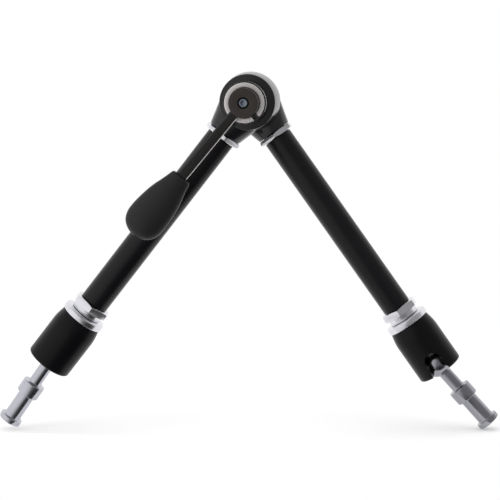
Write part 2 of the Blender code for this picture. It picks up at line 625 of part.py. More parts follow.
def stud_mesh():
    """Ball, stem and spigot turned from one bar. The ball's centre is the origin."""
    root = math.degrees(math.acos(STEM_RADIUS / BALL_RADIUS))
    ball = arc((0, 0), BALL_RADIUS, -90, root, 10)
    outline = [(0, ball[0][1])] + ball[1:] + [
        (STEM_RADIUS, STEM_REACH), (SPIGOT_RADIUS - SPIGOT_EDGE, STEM_REACH),
        (SPIGOT_RADIUS, STEM_REACH + SPIGOT_EDGE), (SPIGOT_RADIUS, COLLAR_END - SPIGOT_EDGE),
        (SPIGOT_RADIUS - SPIGOT_EDGE, COLLAR_END), (SPIGOT_NECK_RADIUS, COLLAR_END),
        (SPIGOT_NECK_RADIUS, NECK_END), (SPIGOT_RADIUS - SPIGOT_EDGE / 2, NECK_END),
        (SPIGOT_RADIUS, NECK_END + SPIGOT_EDGE / 2),
        (SPIGOT_RADIUS, STUD_REACH - SPIGOT_EDGE), (SPIGOT_RADIUS - SPIGOT_EDGE, STUD_REACH),
        (0, STUD_REACH)]
    return turned("ball_stud", outline, MID_SIDES)


def along(angle):
    return Vector((math.cos(angle), 0, math.sin(angle)))


def arm(side, housing_name, housing_top, arm_frame, lean, meshes, finishes):
    """One arm: every piece from the elbow housing to the spigot. The arms differ in their housing's boss."""
    axis = axis_empty(side + "_arm_axis", arm_frame)
    on_axis = Matrix.Translation((0, -ARM_OFFSET, 0))
    line = add_object(side + "_arm_line", None, axis, on_axis)
    housing(housing_name, housing_top, axis, finishes["casting"])
    assign(add_object(side + "_tube", meshes["tube"], line), finishes["tube"])
    nut(side + "_jam_nut", JAM_NUT_START, JAM_NUT_THICKNESS, 0, line, finishes["bright"])
    nut(side + "_end_nut", END_NUT_START, END_NUT_HEIGHT, END_NECK_LENGTH, line, finishes["bright"])
    assign(add_object(side + "_push_rod", meshes["rod"], line), finishes["steel"])
    assign(add_object(side + "_rod_guide", meshes["guide"], line), finishes["nylon"])
    assign(add_object(side + "_tail_collar", meshes["collar"], line), finishes["steel"])
    assign(add_object(side + "_swivel_bush", meshes["bush"], line), finishes["bright"])
    assign(add_object(side + "_ball_pad", meshes["pad"], line), finishes["nylon"])
    sleeve = add_object(side + "_ball_sleeve", sleeve_mesh(), line)
    combine(sleeve, side + "_sleeve_slot", slot_mesh(), "DIFFERENCE")
    assign(sleeve, finishes["sleeve"])
    turn = Matrix.Rotation(lean, 4, "Y")
    ball_center = Matrix.Translation((0, 0, BALL_DISTANCE))
    assign(add_object(side + "_ball_stud", meshes["stud"], line, ball_center @ turn), finishes["stud"])


def build():
    clear_scene()
    finishes = {
        "casting": material("satin_black_paint", (0.015, 0.015, 0.016), 0.38, 0.0),
        "tube": material("black_anodised_tube", (0.018, 0.018, 0.019), 0.42, 0.0),
        "sleeve": material("black_sleeve_paint", (0.014, 0.014, 0.015), 0.35, 0.0),
        "bright": material("bright_nickel", (0.82, 0.82, 0.86), 0.22, 1.0),
        "stud": material("polished_stud", (0.62, 0.63, 0.68), 0.2, 1.0),
        "steel": material("plain_steel", (0.5, 0.5, 0.5), 0.35, 1.0),
        "ring": material("satin_ring", (0.66, 0.63, 0.62), 0.35, 1.0),
        "lever": material("dark_lever", (0.04, 0.035, 0.034), 0.4, 0.0),
        "grip": material("soft_black_grip", (0.02, 0.02, 0.02), 0.6, 0.0),
        "nylon": material("pale_nylon", (0.7, 0.68, 0.62), 0.5, 0.0),
        "screw": material("blue_steel_screw", (0.3, 0.33, 0.38), 0.3, 1.0),
        "friction": material("friction_fibre", (0.2, 0.14, 0.1), 0.8, 0.0),
    }
    base_stud_angle = BASE_ARM_ANGLE + BASE_STUD_LEAN
    base_along = along(BASE_ARM_ANGLE)
    head_along = along(HEAD_ARM_ANGLE)
    lever_along = along(BASE_ARM_ANGLE + LEVER_LEAN)
    into = Vector((0, 1, 0))
    elbow = into * ARM_OFFSET - base_along * BALL_DISTANCE - along(base_stud_angle) * STUD_REACH
    base_frame = frame(elbow, into.cross(base_along), into, base_along)
    head_frame = frame(elbow, (-into).cross(head_along), -into, head_along)
    front_axis = axis_empty("front_pivot_axis", frame(elbow, Vector((1, 0, 0)), Vector((0, 0, 1)), -into))
    rear_axis = axis_empty("rear_pivot_axis", frame(elbow, Vector((1, 0, 0)), Vector((0, 0, -1)), into))
    lever_axis = axis_empty("lever_axis", frame(elbow, lever_along, (-into).cross(lever_along), -into))

    collar = ring(TAIL_COLLAR_RADIUS, SOCKET_RADIUS, COLLAR_START, TAIL_END)
    meshes = {
        "tube": tube_mesh(),
        "rod": rod_mesh(),
        "guide": guide_mesh(),
        "collar": turned("tail_collar", collar, MID_SIDES),
        "bush": bush_mesh(),
        "pad": pad_mesh(),
        "stud": stud_mesh(),
    }
    arm("base", "front_housing", FRONT_TOP, base_frame, -BASE_STUD_LEAN, meshes, finishes)
    arm("head", "rear_housing", REAR_TOP, head_frame, HEAD_STUD_LEAN, meshes, finishes)

    wedge = wedge_mesh()
    assign(add_object("front_wedge", wedge, front_axis), finishes["steel"])
    assign(add_object("rear_wedge", wedge, rear_axis), finishes["steel"])
    half = WASHER_THICKNESS / 2
    washer = turned("friction_washer", ring(WASHER_RADIUS, WASHER_BORE, -half, half), MID_SIDES)
    assign(add_object("friction_washer", washer, front_axis), finishes["friction"])
    thrust = ring(THRUST_WASHER_RADIUS, SHAFT_RADIUS + RUNNING_GAP, THRUST_WASHER_FOOT, THRUST_WASHER_END)
    thrust_washer = turned("thrust_washer", thrust, MID_SIDES)
    assign(add_object("thrust_washer", thrust_washer, front_axis), finishes["steel"])
    assign(add_object("spring_washer", spring_washer_mesh(), rear_axis), finishes["steel"])
    pivot_shaft(rear_axis, finishes["steel"])
    rear_cover(rear_axis, finishes["casting"])
    retaining_ring(front_axis, finishes["ring"])
    lock_lever(lever_axis, finishes["lever"])
    lever_grip(lever_axis, finishes["grip"])
    lever_screw(lever_axis, finishes["screw"])


build()
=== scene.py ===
"""Articulating friction arm, dressed: two tubes on a lever-locked elbow, with a ball joint and a
spigot on each end.

The pieces follow in the order in which the arm is put together. Lengths are in metres, in the
model's frame.
"""
import json
import math

import bmesh
import bpy
from mathutils import Matrix, Vector


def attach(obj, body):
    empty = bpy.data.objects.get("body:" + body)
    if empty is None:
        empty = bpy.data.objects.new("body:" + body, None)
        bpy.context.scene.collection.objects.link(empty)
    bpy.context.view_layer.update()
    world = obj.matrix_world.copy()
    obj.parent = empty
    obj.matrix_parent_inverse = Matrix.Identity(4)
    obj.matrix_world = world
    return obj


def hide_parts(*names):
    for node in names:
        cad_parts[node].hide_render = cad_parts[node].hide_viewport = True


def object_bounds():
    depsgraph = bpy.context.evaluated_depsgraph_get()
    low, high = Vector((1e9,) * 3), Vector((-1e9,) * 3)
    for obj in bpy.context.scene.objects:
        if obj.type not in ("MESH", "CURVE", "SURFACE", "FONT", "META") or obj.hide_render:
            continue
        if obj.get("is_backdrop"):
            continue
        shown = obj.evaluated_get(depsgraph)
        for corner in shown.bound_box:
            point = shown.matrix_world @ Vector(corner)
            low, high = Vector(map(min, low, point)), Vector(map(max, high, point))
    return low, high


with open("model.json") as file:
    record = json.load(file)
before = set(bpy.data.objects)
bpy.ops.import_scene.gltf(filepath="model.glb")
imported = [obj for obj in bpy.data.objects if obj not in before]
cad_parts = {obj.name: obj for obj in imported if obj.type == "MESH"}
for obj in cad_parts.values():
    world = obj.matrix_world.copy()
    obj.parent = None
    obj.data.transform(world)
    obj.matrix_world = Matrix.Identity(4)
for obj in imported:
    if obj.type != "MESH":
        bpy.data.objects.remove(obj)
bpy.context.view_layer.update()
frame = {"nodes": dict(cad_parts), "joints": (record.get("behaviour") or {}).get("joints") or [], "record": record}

# ELBOW CASTINGS. Two zinc castings lie face to face on the pivot. Each is a slightly tapered drum
# with a flattened snout for its tube and a boss about the pivot; the front boss is the taller.
# They are stoved in satin black paint.

MM = 0.001
ROUND_FACETS = 128
SMALL_FACETS = 64
WELD = 0.001 * MM
OVERCUT = 1.0 * MM
BEND_LIMIT = 0.49
BEND_STEPS = 4
SHARP_EDGE = math.radians(30)
PEEL_HEIGHT = 0.2 * MM
DRUM_RADIUS = 18.7 * MM
DRUM_FOOT_RADIUS = 20.4 * MM
DRUM_HEIGHT = 25.8 * MM
DRUM_EDGE = 0.7 * MM
PARTING_GAP = 0.15 * MM
BOSS_RADIUS = 14.2 * MM
BOSS_EDGE = 0.15 * MM
BOSS_FILLET = 0.8 * MM
FRONT_TOP = 45.3 * MM
REAR_TOP = 31.5 * MM
SEAT_RADIUS = 13.3 * MM
SEAT_DEPTH = 2.2 * MM
CAVITY_RADIUS = 12.35 * MM
CAVITY_FLOOR = 3.8 * MM
RECESS_RADIUS = 15.3 * MM
RECESS_FLOOR = 1.0 * MM
SHAFT_BORE = 5.3 * MM
SNOUT_REACH = 26.3 * MM
SNOUT_RADIUS = 12.1 * MM
SNOUT_ROOT_HALF = 11.3 * MM
SNOUT_EDGE = 0.6 * MM
SNOUT_BURY = 0.15 * MM
SOCKET_RADIUS = 9.1 * MM
SOCKET_DEPTH = 11.8 * MM
ROD_BORE = 4.3 * MM

joint_of = {joint["name"]: joint for joint in frame["joints"]}


def axes_at(origin, along, into):
    """A place whose Z runs along a piece and whose Y runs into the elbow's other half."""
    along = Vector(along).normalized()
    into = Vector(into)
    turn = Matrix((into.cross(along), into, along)).transposed().to_4x4()
    return Matrix.Translation(origin) @ turn


def swivel_place(joint_name, into):
    """The place of an arm: at its swivel joint, along the tube."""
    joint = joint_of[joint_name]
    return axes_at(joint["pos_m"], joint["axis"], into)


elbow_point = Vector(joint_of["elbow"]["pos_m"])
arm_place = {"base": swivel_place("base_swivel", (0, 1, 0)),
             "head": swivel_place("head_swivel", (0, -1, 0))}
pivot_place = {end: Matrix.Translation(elbow_point) @ Matrix.Rotation(math.radians(turn), 4, "X")
               for end, turn in (("front", 90), ("rear", -90))}


def bend(outline, steps=BEND_STEPS):
    """Rounds the corners of an outline of (radius, height) or (radius, height, corner radius)."""
    made = []
    count = len(outline)
    for i, point in enumerate(outline):
        corner = Vector(point[:2])
        size = point[2] if len(point) > 2 else 0
        before = Vector(outline[i - 1][:2]) - corner
        after = Vector(outline[(i + 1) % count][:2]) - corner
        if size == 0 or before.length < WELD or after.length < WELD:
            made.append(tuple(corner))
            continue
        half = before.angle(after) / 2
        reach = min(size / math.tan(half), before.length * BEND_LIMIT, after.length * BEND_LIMIT)
        size = reach * math.tan(half)
        first = corner + before.normalized() * reach
        last = corner + after.normalized() * reach
        inward = (before.normalized() + after.normalized()).normalized()
        center = corner + inward * size / math.sin(half)
        start, end = first - center, last - center
        sweep = start.angle_signed(end)
        for step in range(steps + 1):
            share = step / steps
            turn = Matrix.Rotation(-sweep * share, 2)
            made.append(tuple(center + turn @ start))
    return made


def smooth_faced(mesh):
    """Smooth shading that leaves real edges sharp."""
    mesh.shade_smooth()
    mesh.set_sharp_from_angle(angle=SHARP_EDGE)


def piece_from(name, shape, place):
    """An object at the origin whose mesh carries its place."""
    bmesh.ops.recalc_face_normals(shape, faces=shape.faces)
    shape.transform(place)
    mesh = bpy.data.meshes.new(name)
    shape.to_mesh(mesh)
    shape.free()
    smooth_faced(mesh)
    piece = bpy.data.objects.new(name, mesh)
    bpy.context.collection.objects.link(piece)
    return piece


def spun(outline, facets=ROUND_FACETS):
    """A closed turned form about Z."""
    shape = bmesh.new()
    points = [shape.verts.new((max(radius, 0), 0, height)) for radius, height in outline]
    for start, end in zip(points, points[1:] + points[:1]):
        if start.co.x > 0 or end.co.x > 0:
            shape.edges.new((start, end))
    bmesh.ops.spin(shape, geom=points + shape.edges[:], cent=(0, 0, 0), axis=(0, 0, 1),
                   angle=2 * math.pi, steps=facets, use_merge=True)
    bmesh.ops.remove_doubles(shape, verts=shape.verts, dist=WELD)
    return settled(shape)


def settled(shape):
    """The same form with its faces in a fixed order, which spin and extrude leave to chance."""
    shape.verts.index_update()
    faces = []
    for face in shape.faces:
        corners = [vert.index for vert in face.verts]
        lowest = corners.index(min(corners))
        faces.append(corners[lowest:] + corners[:lowest])
    made = bmesh.new()
    points = [made.verts.new(vert.co) for vert in shape.verts]
    for corners in sorted(faces):
        made.faces.new([points[i] for i in corners])
    shape.free()
    return made


def shaped(piece, shape, place, operation="DIFFERENCE"):
    """Cuts, joins or trims a piece with a tool, which is then thrown away."""
    tool = piece_from(piece.name + "_tool", shape, place)
    step = piece.modifiers.new("tool", "BOOLEAN")
    step.operation = operation
    step.solver = "EXACT"
    step.object = tool
    bake(piece)
    bpy.data.objects.remove(tool, do_unlink=True)


def bake(piece):
    """Makes a piece's modifiers permanent."""
    result = piece.evaluated_get(bpy.context.evaluated_depsgraph_get())
    made = bpy.data.meshes.new_from_object(result)
    piece.modifiers.clear()
    piece.data = made
    smooth_faced(made)


def casting(name, top, side, pivot, body, node):
    """Drum and boss, the snout joined on, then the bores about the pivot and along the tube."""
    turn = pivot_place[pivot]
    outline = [(0, 0), (DRUM_FOOT_RADIUS, 0), (DRUM_RADIUS, DRUM_HEIGHT, DRUM_EDGE),
               (BOSS_RADIUS, DRUM_HEIGHT, BOSS_FILLET), (BOSS_RADIUS, top, BOSS_EDGE), (0, top)]
    piece = piece_from(name, spun(bend(outline)), turn)
    drum = DRUM_RADIUS - SNOUT_BURY
    half_angle = (math.asin(drum / math.hypot(SNOUT_REACH, SNOUT_RADIUS))
                  - math.atan2(SNOUT_RADIUS, SNOUT_REACH))
    start = drum * math.sin(half_angle)
    root = drum * math.cos(half_angle)
    snout = spun(bend([(0, start), (root, start), (SNOUT_RADIUS, SNOUT_REACH, SNOUT_EDGE),
                       (0, SNOUT_REACH)]))
    flat = SNOUT_ROOT_HALF / root
    for vert in snout.verts:
        share = min(max((vert.co.z - start) / (SNOUT_REACH - start), 0), 1)
        vert.co.y *= flat + (1 - flat) * share
    bmesh.ops.triangulate(snout, faces=snout.faces)
    shaped(piece, snout, arm_place[side], "UNION")
    beyond = 3 * SNOUT_REACH
    seat = top - SEAT_DEPTH
    hollow = [(0, -beyond), (beyond, -beyond), (beyond, PARTING_GAP), (RECESS_RADIUS, PARTING_GAP),
              (RECESS_RADIUS, RECESS_FLOOR), (SHAFT_BORE, RECESS_FLOOR), (SHAFT_BORE, CAVITY_FLOOR),
              (CAVITY_RADIUS, CAVITY_FLOOR), (CAVITY_RADIUS, seat), (SEAT_RADIUS, seat),
              (SEAT_RADIUS, top + OVERCUT), (0, top + OVERCUT)]
    half_facet = Matrix.Rotation(math.pi / ROUND_FACETS, 4, "Z")
    shaped(piece, spun(hollow), turn @ half_facet)
    step = SNOUT_REACH - SOCKET_DEPTH
    socket = [(0, 0), (ROD_BORE, 0), (ROD_BORE, step), (SOCKET_RADIUS, step),
              (SOCKET_RADIUS, SNOUT_REACH + OVERCUT), (0, SNOUT_REACH + OVERCUT)]
    shaped(piece, spun(socket, SMALL_FACETS), arm_place[side])
    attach(piece, body)
    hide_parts(node)
    return piece


def linked(tree, kind, sources=(), **settings):
    """A node in a tree, with (input, value or socket) pairs set or linked."""
    node = tree.nodes.new(kind)
    for key, value in settings.items():
        setattr(node, key, value)
    for key, value in sources:
        if isinstance(value, bpy.types.NodeSocket):
            tree.links.new(value, node.inputs[key])
        else:
            node.inputs[key].default_value = value
    return node


def math_of(tree, operation, *terms):
    """The result of a math node."""
    return linked(tree, "ShaderNodeMath", enumerate(terms), operation=operation).outputs[0]


def blended(tree, share, under, over):
    """One colour over another by a share."""
    sources = [(0, share), (6, under), (7, over)]
    return linked(tree, "ShaderNodeMix", sources, data_type="RGBA").outputs[2]


def noise(tree, place, scale, detail, roughness):
    """A cloudy value about 0.5."""
    sources = [("Vector", place), ("Scale", scale), ("Detail", detail), ("Roughness", roughness)]
    return linked(tree, "ShaderNodeTexNoise", sources).outputs["Fac"]


class Finish:
    """A material under construction: its node tree, its Principled shader and ways to feed it."""

    def __init__(self, name, color, roughness, metallic=0.0, **constants):
        self.material = bpy.data.materials.new(name)
        self.material.use_nodes = True
        self.tree = self.material.node_tree
        self.shader = self.tree.nodes["Principled BSDF"]
        self.shader.inputs["Base Color"].default_value = (*color, 1)
        self.shader.inputs["Roughness"].default_value = roughness
        self.shader.inputs["Metallic"].default_value = metallic
        for socket, value in constants.items():
            self.shader.inputs[socket.replace("_", " ")].default_value = value
        self.place = linked(self.tree, "ShaderNodeTexCoord").outputs["Object"]

    def effect(self, group, **inputs):
        """A node group on the surface, with its inputs set or linked."""
        sources = [(label.replace("_", " "), value) for label, value in inputs.items()]
        sources.append(("Place", self.place))
        return linked(self.tree, "ShaderNodeGroup", sources, node_tree=group).outputs

    def wear(self, socket, value):
        """Feeds one input of the Principled shader."""
        self.tree.links.new(value, self.shader.inputs[socket])

    def wear_all(self, look):
        """Takes colour, roughness and bump from an effect."""
        self.wear("Base Color", look["Color"])
        self.wear("Roughness", look["Roughness"])
        self.wear("Normal", look["Normal"])


def effect_group(name, inputs, outputs):
    """An empty shader node group, with the sockets that its nodes take from and give to."""
    tree = bpy.data.node_groups.new(name, "ShaderNodeTree")
    for label, kind, value in inputs:
        socket = tree.interface.new_socket(label, in_out="INPUT", socket_type=kind)
        if value is not None:
            socket.default_value = value
    for label, kind in outputs:
        tree.interface.new_socket(label, in_out="OUTPUT", socket_type=kind)
    given, out = tree.nodes.new("NodeGroupInput"), tree.nodes.new("NodeGroupOutput")
    return tree, given.outputs, out.inputs


SURFACE = [("Color", "NodeSocketColor"), ("Roughness", "NodeSocketFloat"),
           ("Normal", "NodeSocketVector")]


def put_out(tree, out, tone, rough, relief, strength, height):
    """Ends a surface's group: its colour, its roughness and the bump of its relief."""
    bump = linked(tree, "ShaderNodeBump", [("Strength", strength), ("Distance", height),
                                          ("Height", relief)])
    tree.links.new(tone, out["Color"])
    tree.links.new(rough, out["Roughness"])
    tree.links.new(bump.outputs[0], out["Normal"])
    return tree


def worn_coat_group():
    """Cloudy tone, uneven gloss and orange-peel bump of a thin coat."""
    tree, given, out = effect_group("worn coat", [
        ("Place", "NodeSocketVector", None), ("Dark", "NodeSocketColor", (0.01, 0.01, 0.01, 1)),
        ("Pale", "NodeSocketColor", (0.03, 0.03, 0.03, 1)), ("Gloss", "NodeSocketFloat", 0.35),
        ("Spread", "NodeSocketFloat", 0.1), ("Peel", "NodeSocketFloat", 700.0),
        ("Depth", "NodeSocketFloat", 0.15)], SURFACE)
    cloud = noise(tree, given["Place"], scale=45.0, detail=4.0, roughness=0.6)
    uneven = noise(tree, given["Place"], scale=160.0, detail=6.0, roughness=0.7)
    peel = noise(tree, given["Place"], scale=given["Peel"], detail=3.0, roughness=0.5)
    spread = math_of(tree, "SUBTRACT", uneven, 0.5)
    rough = math_of(tree, "MULTIPLY_ADD", spread, given["Spread"], given["Gloss"])
    tone = blended(tree, cloud, given["Dark"], given["Pale"])
    return put_out(tree, out, tone, rough, relief=peel, strength=given["Depth"], height=PEEL_HEIGHT)


worn_coat = worn_coat_group()


def coated(name, dark, pale, roughness, spread, peel, depth, **constants):
    """A painted, anodised or moulded finish."""
    finish = Finish(name, dark, roughness, **constants)
    finish.wear_all(finish.effect(worn_coat, Dark=(*dark, 1), Pale=(*pale, 1), Gloss=roughness,
                                  Spread=spread, Peel=peel, Depth=depth))
    return finish.material


def dress(piece, material):
    """Gives a piece or a CAD node one finish all over."""
    if piece.data.materials:
        for slot in piece.material_slots:
            slot.material = material
    else:
        piece.data.materials.append(material)


casting_paint = coated("satin black casting paint", (0.0045, 0.0045, 0.0058), (0.008, 0.008, 0.0098),
                       roughness=0.14, spread=0.07, peel=900.0, depth=0.05, Specular_IOR_Level=0.52)
front_casting = casting("front_casting", FRONT_TOP, "base", "front", "base_arm", "front_housing")
rear_casting = casting("rear_casting", REAR_TOP, "head", "rear", "head_arm", "rear_housing")
dress(front_casting, casting_paint)
dress(rear_casting, casting_paint)

# REAR COVER. A shallow pressed steel cap, painted as the castings are. It snaps into the rear boss
# and hides the shaft's head.

CAP_RADIUS = 13.2 * MM
CAP_FOOT = 29.6 * MM
CAP_INSIDE = 31.2 * MM
CAP_OUTSIDE = 33.4 * MM
CAP_WALL = 2.2 * MM
CAP_EDGE = 0.9 * MM
CAP_DISH_RADIUS = 9.5 * MM
CAP_DISH = 0.5 * MM

cap = [(0, CAP_INSIDE), (CAP_RADIUS - CAP_WALL, CAP_INSIDE), (CAP_RADIUS - CAP_WALL, CAP_FOOT),
       (CAP_RADIUS, CAP_FOOT), (CAP_RADIUS, CAP_OUTSIDE, CAP_EDGE),
       (CAP_DISH_RADIUS + CAP_DISH, CAP_OUTSIDE, CAP_DISH),
       (CAP_DISH_RADIUS, CAP_OUTSIDE - CAP_DISH, CAP_DISH), (0, CAP_OUTSIDE - CAP_DISH)]
rear_cap = piece_from("rear_cap", spun(bend(cap)), pivot_place["rear"])
dress(rear_cap, casting_paint)
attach(rear_cap, "head_arm")
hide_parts("rear_cover")

# WEDGES, WASHERS AND SHAFT. The lock's inner works on the pivot: two turned steel wedges, the
# hexagon-head shaft that draws them together, its washers, and the bonded fibre disc between the
# castings. The steel is bright and lightly oiled.

LATHE_STRETCH = (0.02, 0.02, 1.0)
LATHE_HEIGHT = 0.1 * MM


def turned_metal_group():
    """Fine lathe rings about an axis, smudges and a faint tint, for bare or plated metal."""
    tree, given, out = effect_group("turned metal", [
        ("Place", "NodeSocketVector", None), ("Center", "NodeSocketVector", (0, 0, 0)),
        ("Turn", "NodeSocketVector", (0, 0, 0)), ("Bright", "NodeSocketColor", (0.7, 0.7, 0.7, 1)),
        ("Dull", "NodeSocketColor", (0.5, 0.5, 0.5, 1)), ("Gloss", "NodeSocketFloat", 0.25),
        ("Spread", "NodeSocketFloat", 0.12), ("Rings", "NodeSocketFloat", 1500.0),
        ("Depth", "NodeSocketFloat", 0.05)], SURFACE)
    moved = linked(tree, "ShaderNodeVectorMath", [(0, given["Place"]), (1, given["Center"])],
                   operation="SUBTRACT")
    sources = [("Vector", moved.outputs[0]), ("Rotation", given["Turn"])]
    turned = linked(tree, "ShaderNodeVectorRotate", sources, rotation_type="EULER_XYZ", invert=True)
    drawn_out = linked(tree, "ShaderNodeVectorMath", [(0, turned.outputs[0]), (1, LATHE_STRETCH)],
                       operation="MULTIPLY")
    rings = noise(tree, drawn_out.outputs[0], scale=given["Rings"], detail=2.0, roughness=0.6)
    smudge = noise(tree, given["Place"], scale=120.0, detail=5.0, roughness=0.65)
    shift = math_of(tree, "SUBTRACT", math_of(tree, "ADD", smudge, rings), 1.0)
    rough = math_of(tree, "MULTIPLY_ADD", shift, given["Spread"], given["Gloss"])
    tone = blended(tree, smudge, given["Bright"], given["Dull"])
    return put_out(tree, out, tone, rough, relief=rings, strength=given["Depth"], height=LATHE_HEIGHT)


turned_metal = turned_metal_group()


def metal(name, place, bright, dull, roughness, spread, rings, depth):
    """A turned metal finish whose lathe rings run about the given place's Z."""
    finish = Finish(name, bright, roughness, metallic=1.0)
    finish.wear_all(finish.effect(turned_metal, Center=place.translation, Turn=place.to_euler("XYZ"),
                                  Bright=(*bright, 1), Dull=(*dull, 1), Gloss=roughness, Spread=spread,
                                  Rings=rings, Depth=depth))
    return finish.material


oiled_steel = metal("oiled turned steel", pivot_place["front"], (0.56, 0.55, 0.53), (0.42, 0.41, 0.40),
                    roughness=0.3, spread=0.2, rings=1800.0, depth=0.2)
fibre = coated("bonded friction fibre", (0.16, 0.11, 0.08), (0.26, 0.19, 0.14),
               roughness=0.8, spread=0.2, peel=1400.0, depth=0.6)
for name in ("front_wedge", "rear_wedge", "thrust_washer", "spring_washer", "pivot_shaft"):
    dress(frame["nodes"][name], oiled_steel)
dress(frame["nodes"]["friction_washer"], fibre)

# RETAINING RING. A C-shaped ring of satin steel, pressed into the front boss round the lever's hub.
# Its opening faces down and to the right. The face is ground flat and the edges are broken.

RING_RADIUS = 13.2 * MM
RING_BORE = 10.1 * MM
RING_FOOT = 43.4 * MM
RING_TOP = 47.0 * MM
RING_EDGE = 0.35 * MM
RING_OPENING = 4.1 * MM
RING_OPENING_ANGLE = math.radians(-51.5)
RING_BREAK = 0.2 * MM


def lofted(first, last):
    """A closed form between two outlines with the same number of corners."""
    shape = bmesh.new()
    first, last = [[shape.verts.new(point) for point in ring] for ring in (first, last)]
    shape.faces.new(first)
    shape.faces.new(last)
    for i, corner in enumerate(first):
        after = (i + 1) % len(first)
        shape.faces.new((corner, first[after], last[after], last[i]))
    return shape


def slab(outline, start, end):
    """A flat outline in XY, carried along Z from start to end."""
    shape = bmesh.new()
    face = shape.faces.new([shape.verts.new((x, y, start)) for x, y in outline])
    grown = bmesh.ops.extrude_face_region(shape, geom=[face])
    top = [part for part in grown["geom"] if isinstance(part, bmesh.types.BMVert)]
    bmesh.ops.translate(shape, verts=top, vec=(0, 0, end - start))
    return settled(shape)


def eased(piece, width, segments=2, angle=35):
    """Breaks the sharp edges, as tumbling or a file does."""
    step = piece.modifiers.new("eased", "BEVEL")
    step.width = width
    step.segments = segments
    step.limit_method = "ANGLE"
    step.angle_limit = math.radians(angle)
    step.harden_normals = False
    bake(piece)


band = [(RING_BORE, RING_FOOT), (RING_RADIUS, RING_FOOT), (RING_RADIUS, RING_TOP, RING_EDGE),
        (RING_BORE, RING_TOP, RING_EDGE)]
stop_ring = piece_from("stop_ring", spun(bend(band)), pivot_place["front"])
half = RING_OPENING / 2
notch = slab([(0, -half), (2 * RING_RADIUS, -half), (2 * RING_RADIUS, half), (0, half)],
             RING_FOOT - OVERCUT, RING_TOP + OVERCUT)
shaped(stop_ring, notch, pivot_place["front"] @ Matrix.Rotation(RING_OPENING_ANGLE, 4, "Z"))
eased(stop_ring, RING_BREAK, angle=50)
ring_steel = metal("ground ring steel", pivot_place["front"], (0.88, 0.85, 0.84), (0.80, 0.77, 0.76),
                   roughness=0.46, spread=0.12, rings=2600.0, depth=0.12)
dress(stop_ring, ring_steel)
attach(stop_ring, "base_arm")
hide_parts("retaining_ring")

# LOCK LEVER. Hub and flat bar in one steel forging with a brown-black conversion coating. The bar's
# edges are chamfered; a strip of bright bare steel along its lower edge is wear and also a painted
# highlight of that edge. The hub is bored for the shaft's thread and counterbored for its screw.

HUB_RADIUS = 9.8 * MM
HUB_FOOT = 26.3 * MM
HUB_TOP = 54.8 * MM
HUB_EDGE = 0.5 * MM
BAR_FOOT = 48.8 * MM
BAR_THICKNESS = 5.0 * MM
BAR_ROOT_WIDTH = 6.4 * MM
BAR_TIP_WIDTH = 7.6 * MM
BAR_END = 90.2 * MM
BAR_CHAMFER = 1.2 * MM
SCREW_HOLE = 2.7 * MM
COUNTERBORE = 3.8 * MM
COUNTERBORE_FLOOR = 50.4 * MM
SHAFT_SEAT = 47.7 * MM
LEVER_LEAN = math.radians(-2.4)
LEVER_BREAK = 0.15 * MM
MIDDLE_FACETS = 96
# The bright strip along the bar's lower edge is a painted highlight of that edge as well as wear.
SHEEN_WEAR_RAGGED = 0.12 * MM
SHEEN_WEAR_START = -0.4 * MM
SHEEN_WEAR_FULL = -0.15 * MM
HUB_CLEAR = 1.0 * MM
FACE_START = -0.3 * MM
FACE_FULL = 0.1 * MM
SHEEN_WEAR_STEEL = (0.55, 0.53, 0.52, 1)
TURNED_FACE = (0.030, 0.025, 0.023, 1)

base_axis = Vector(joint_of["base_swivel"]["axis"])
lever_angle = math.atan2(base_axis.z, base_axis.x) + LEVER_LEAN
lever_along = Vector((math.cos(lever_angle), 0, math.sin(lever_angle)))
out_of_elbow = Vector((0, -1, 0))
lever_turn = Matrix((lever_along, out_of_elbow.cross(lever_along), out_of_elbow)).transposed()
lever_place = Matrix.Translation(elbow_point) @ lever_turn.to_4x4()

hub = [(0, HUB_FOOT), (HUB_RADIUS, HUB_FOOT, HUB_EDGE), (HUB_RADIUS, HUB_TOP, HUB_EDGE),
       (0, HUB_TOP)]
lever = piece_from("lever_forging", spun(bend(hub)), lever_place)


def bar_section(reach, width):
    """The bar's section at a distance from the pivot, with deep chamfers on its outer face."""
    side, cut, top = width / 2, BAR_CHAMFER, BAR_FOOT + BAR_THICKNESS
    corners = [(side, BAR_FOOT + cut / 2), (side, top - cut), (side - cut, top), (cut - side, top),
               (-side, top - cut), (-side, BAR_FOOT + cut / 2), (cut / 2 - side, BAR_FOOT),
               (side - cut / 2, BAR_FOOT)]
    return [(reach, y, z) for y, z in corners]


bar = lofted(bar_section(HUB_RADIUS / 2, BAR_ROOT_WIDTH), bar_section(BAR_END, BAR_TIP_WIDTH))
shaped(lever, bar, lever_place, "UNION")
bore = [(0, HUB_FOOT - OVERCUT), (SHAFT_BORE, HUB_FOOT - OVERCUT), (SHAFT_BORE, SHAFT_SEAT),
        (SCREW_HOLE, SHAFT_SEAT), (SCREW_HOLE, COUNTERBORE_FLOOR), (COUNTERBORE, COUNTERBORE_FLOOR),
        (COUNTERBORE, HUB_TOP + OVERCUT), (0, HUB_TOP + OVERCUT)]
shaped(lever, spun(bore, MIDDLE_FACETS), lever_place)
eased(lever, LEVER_BREAK, angle=40)


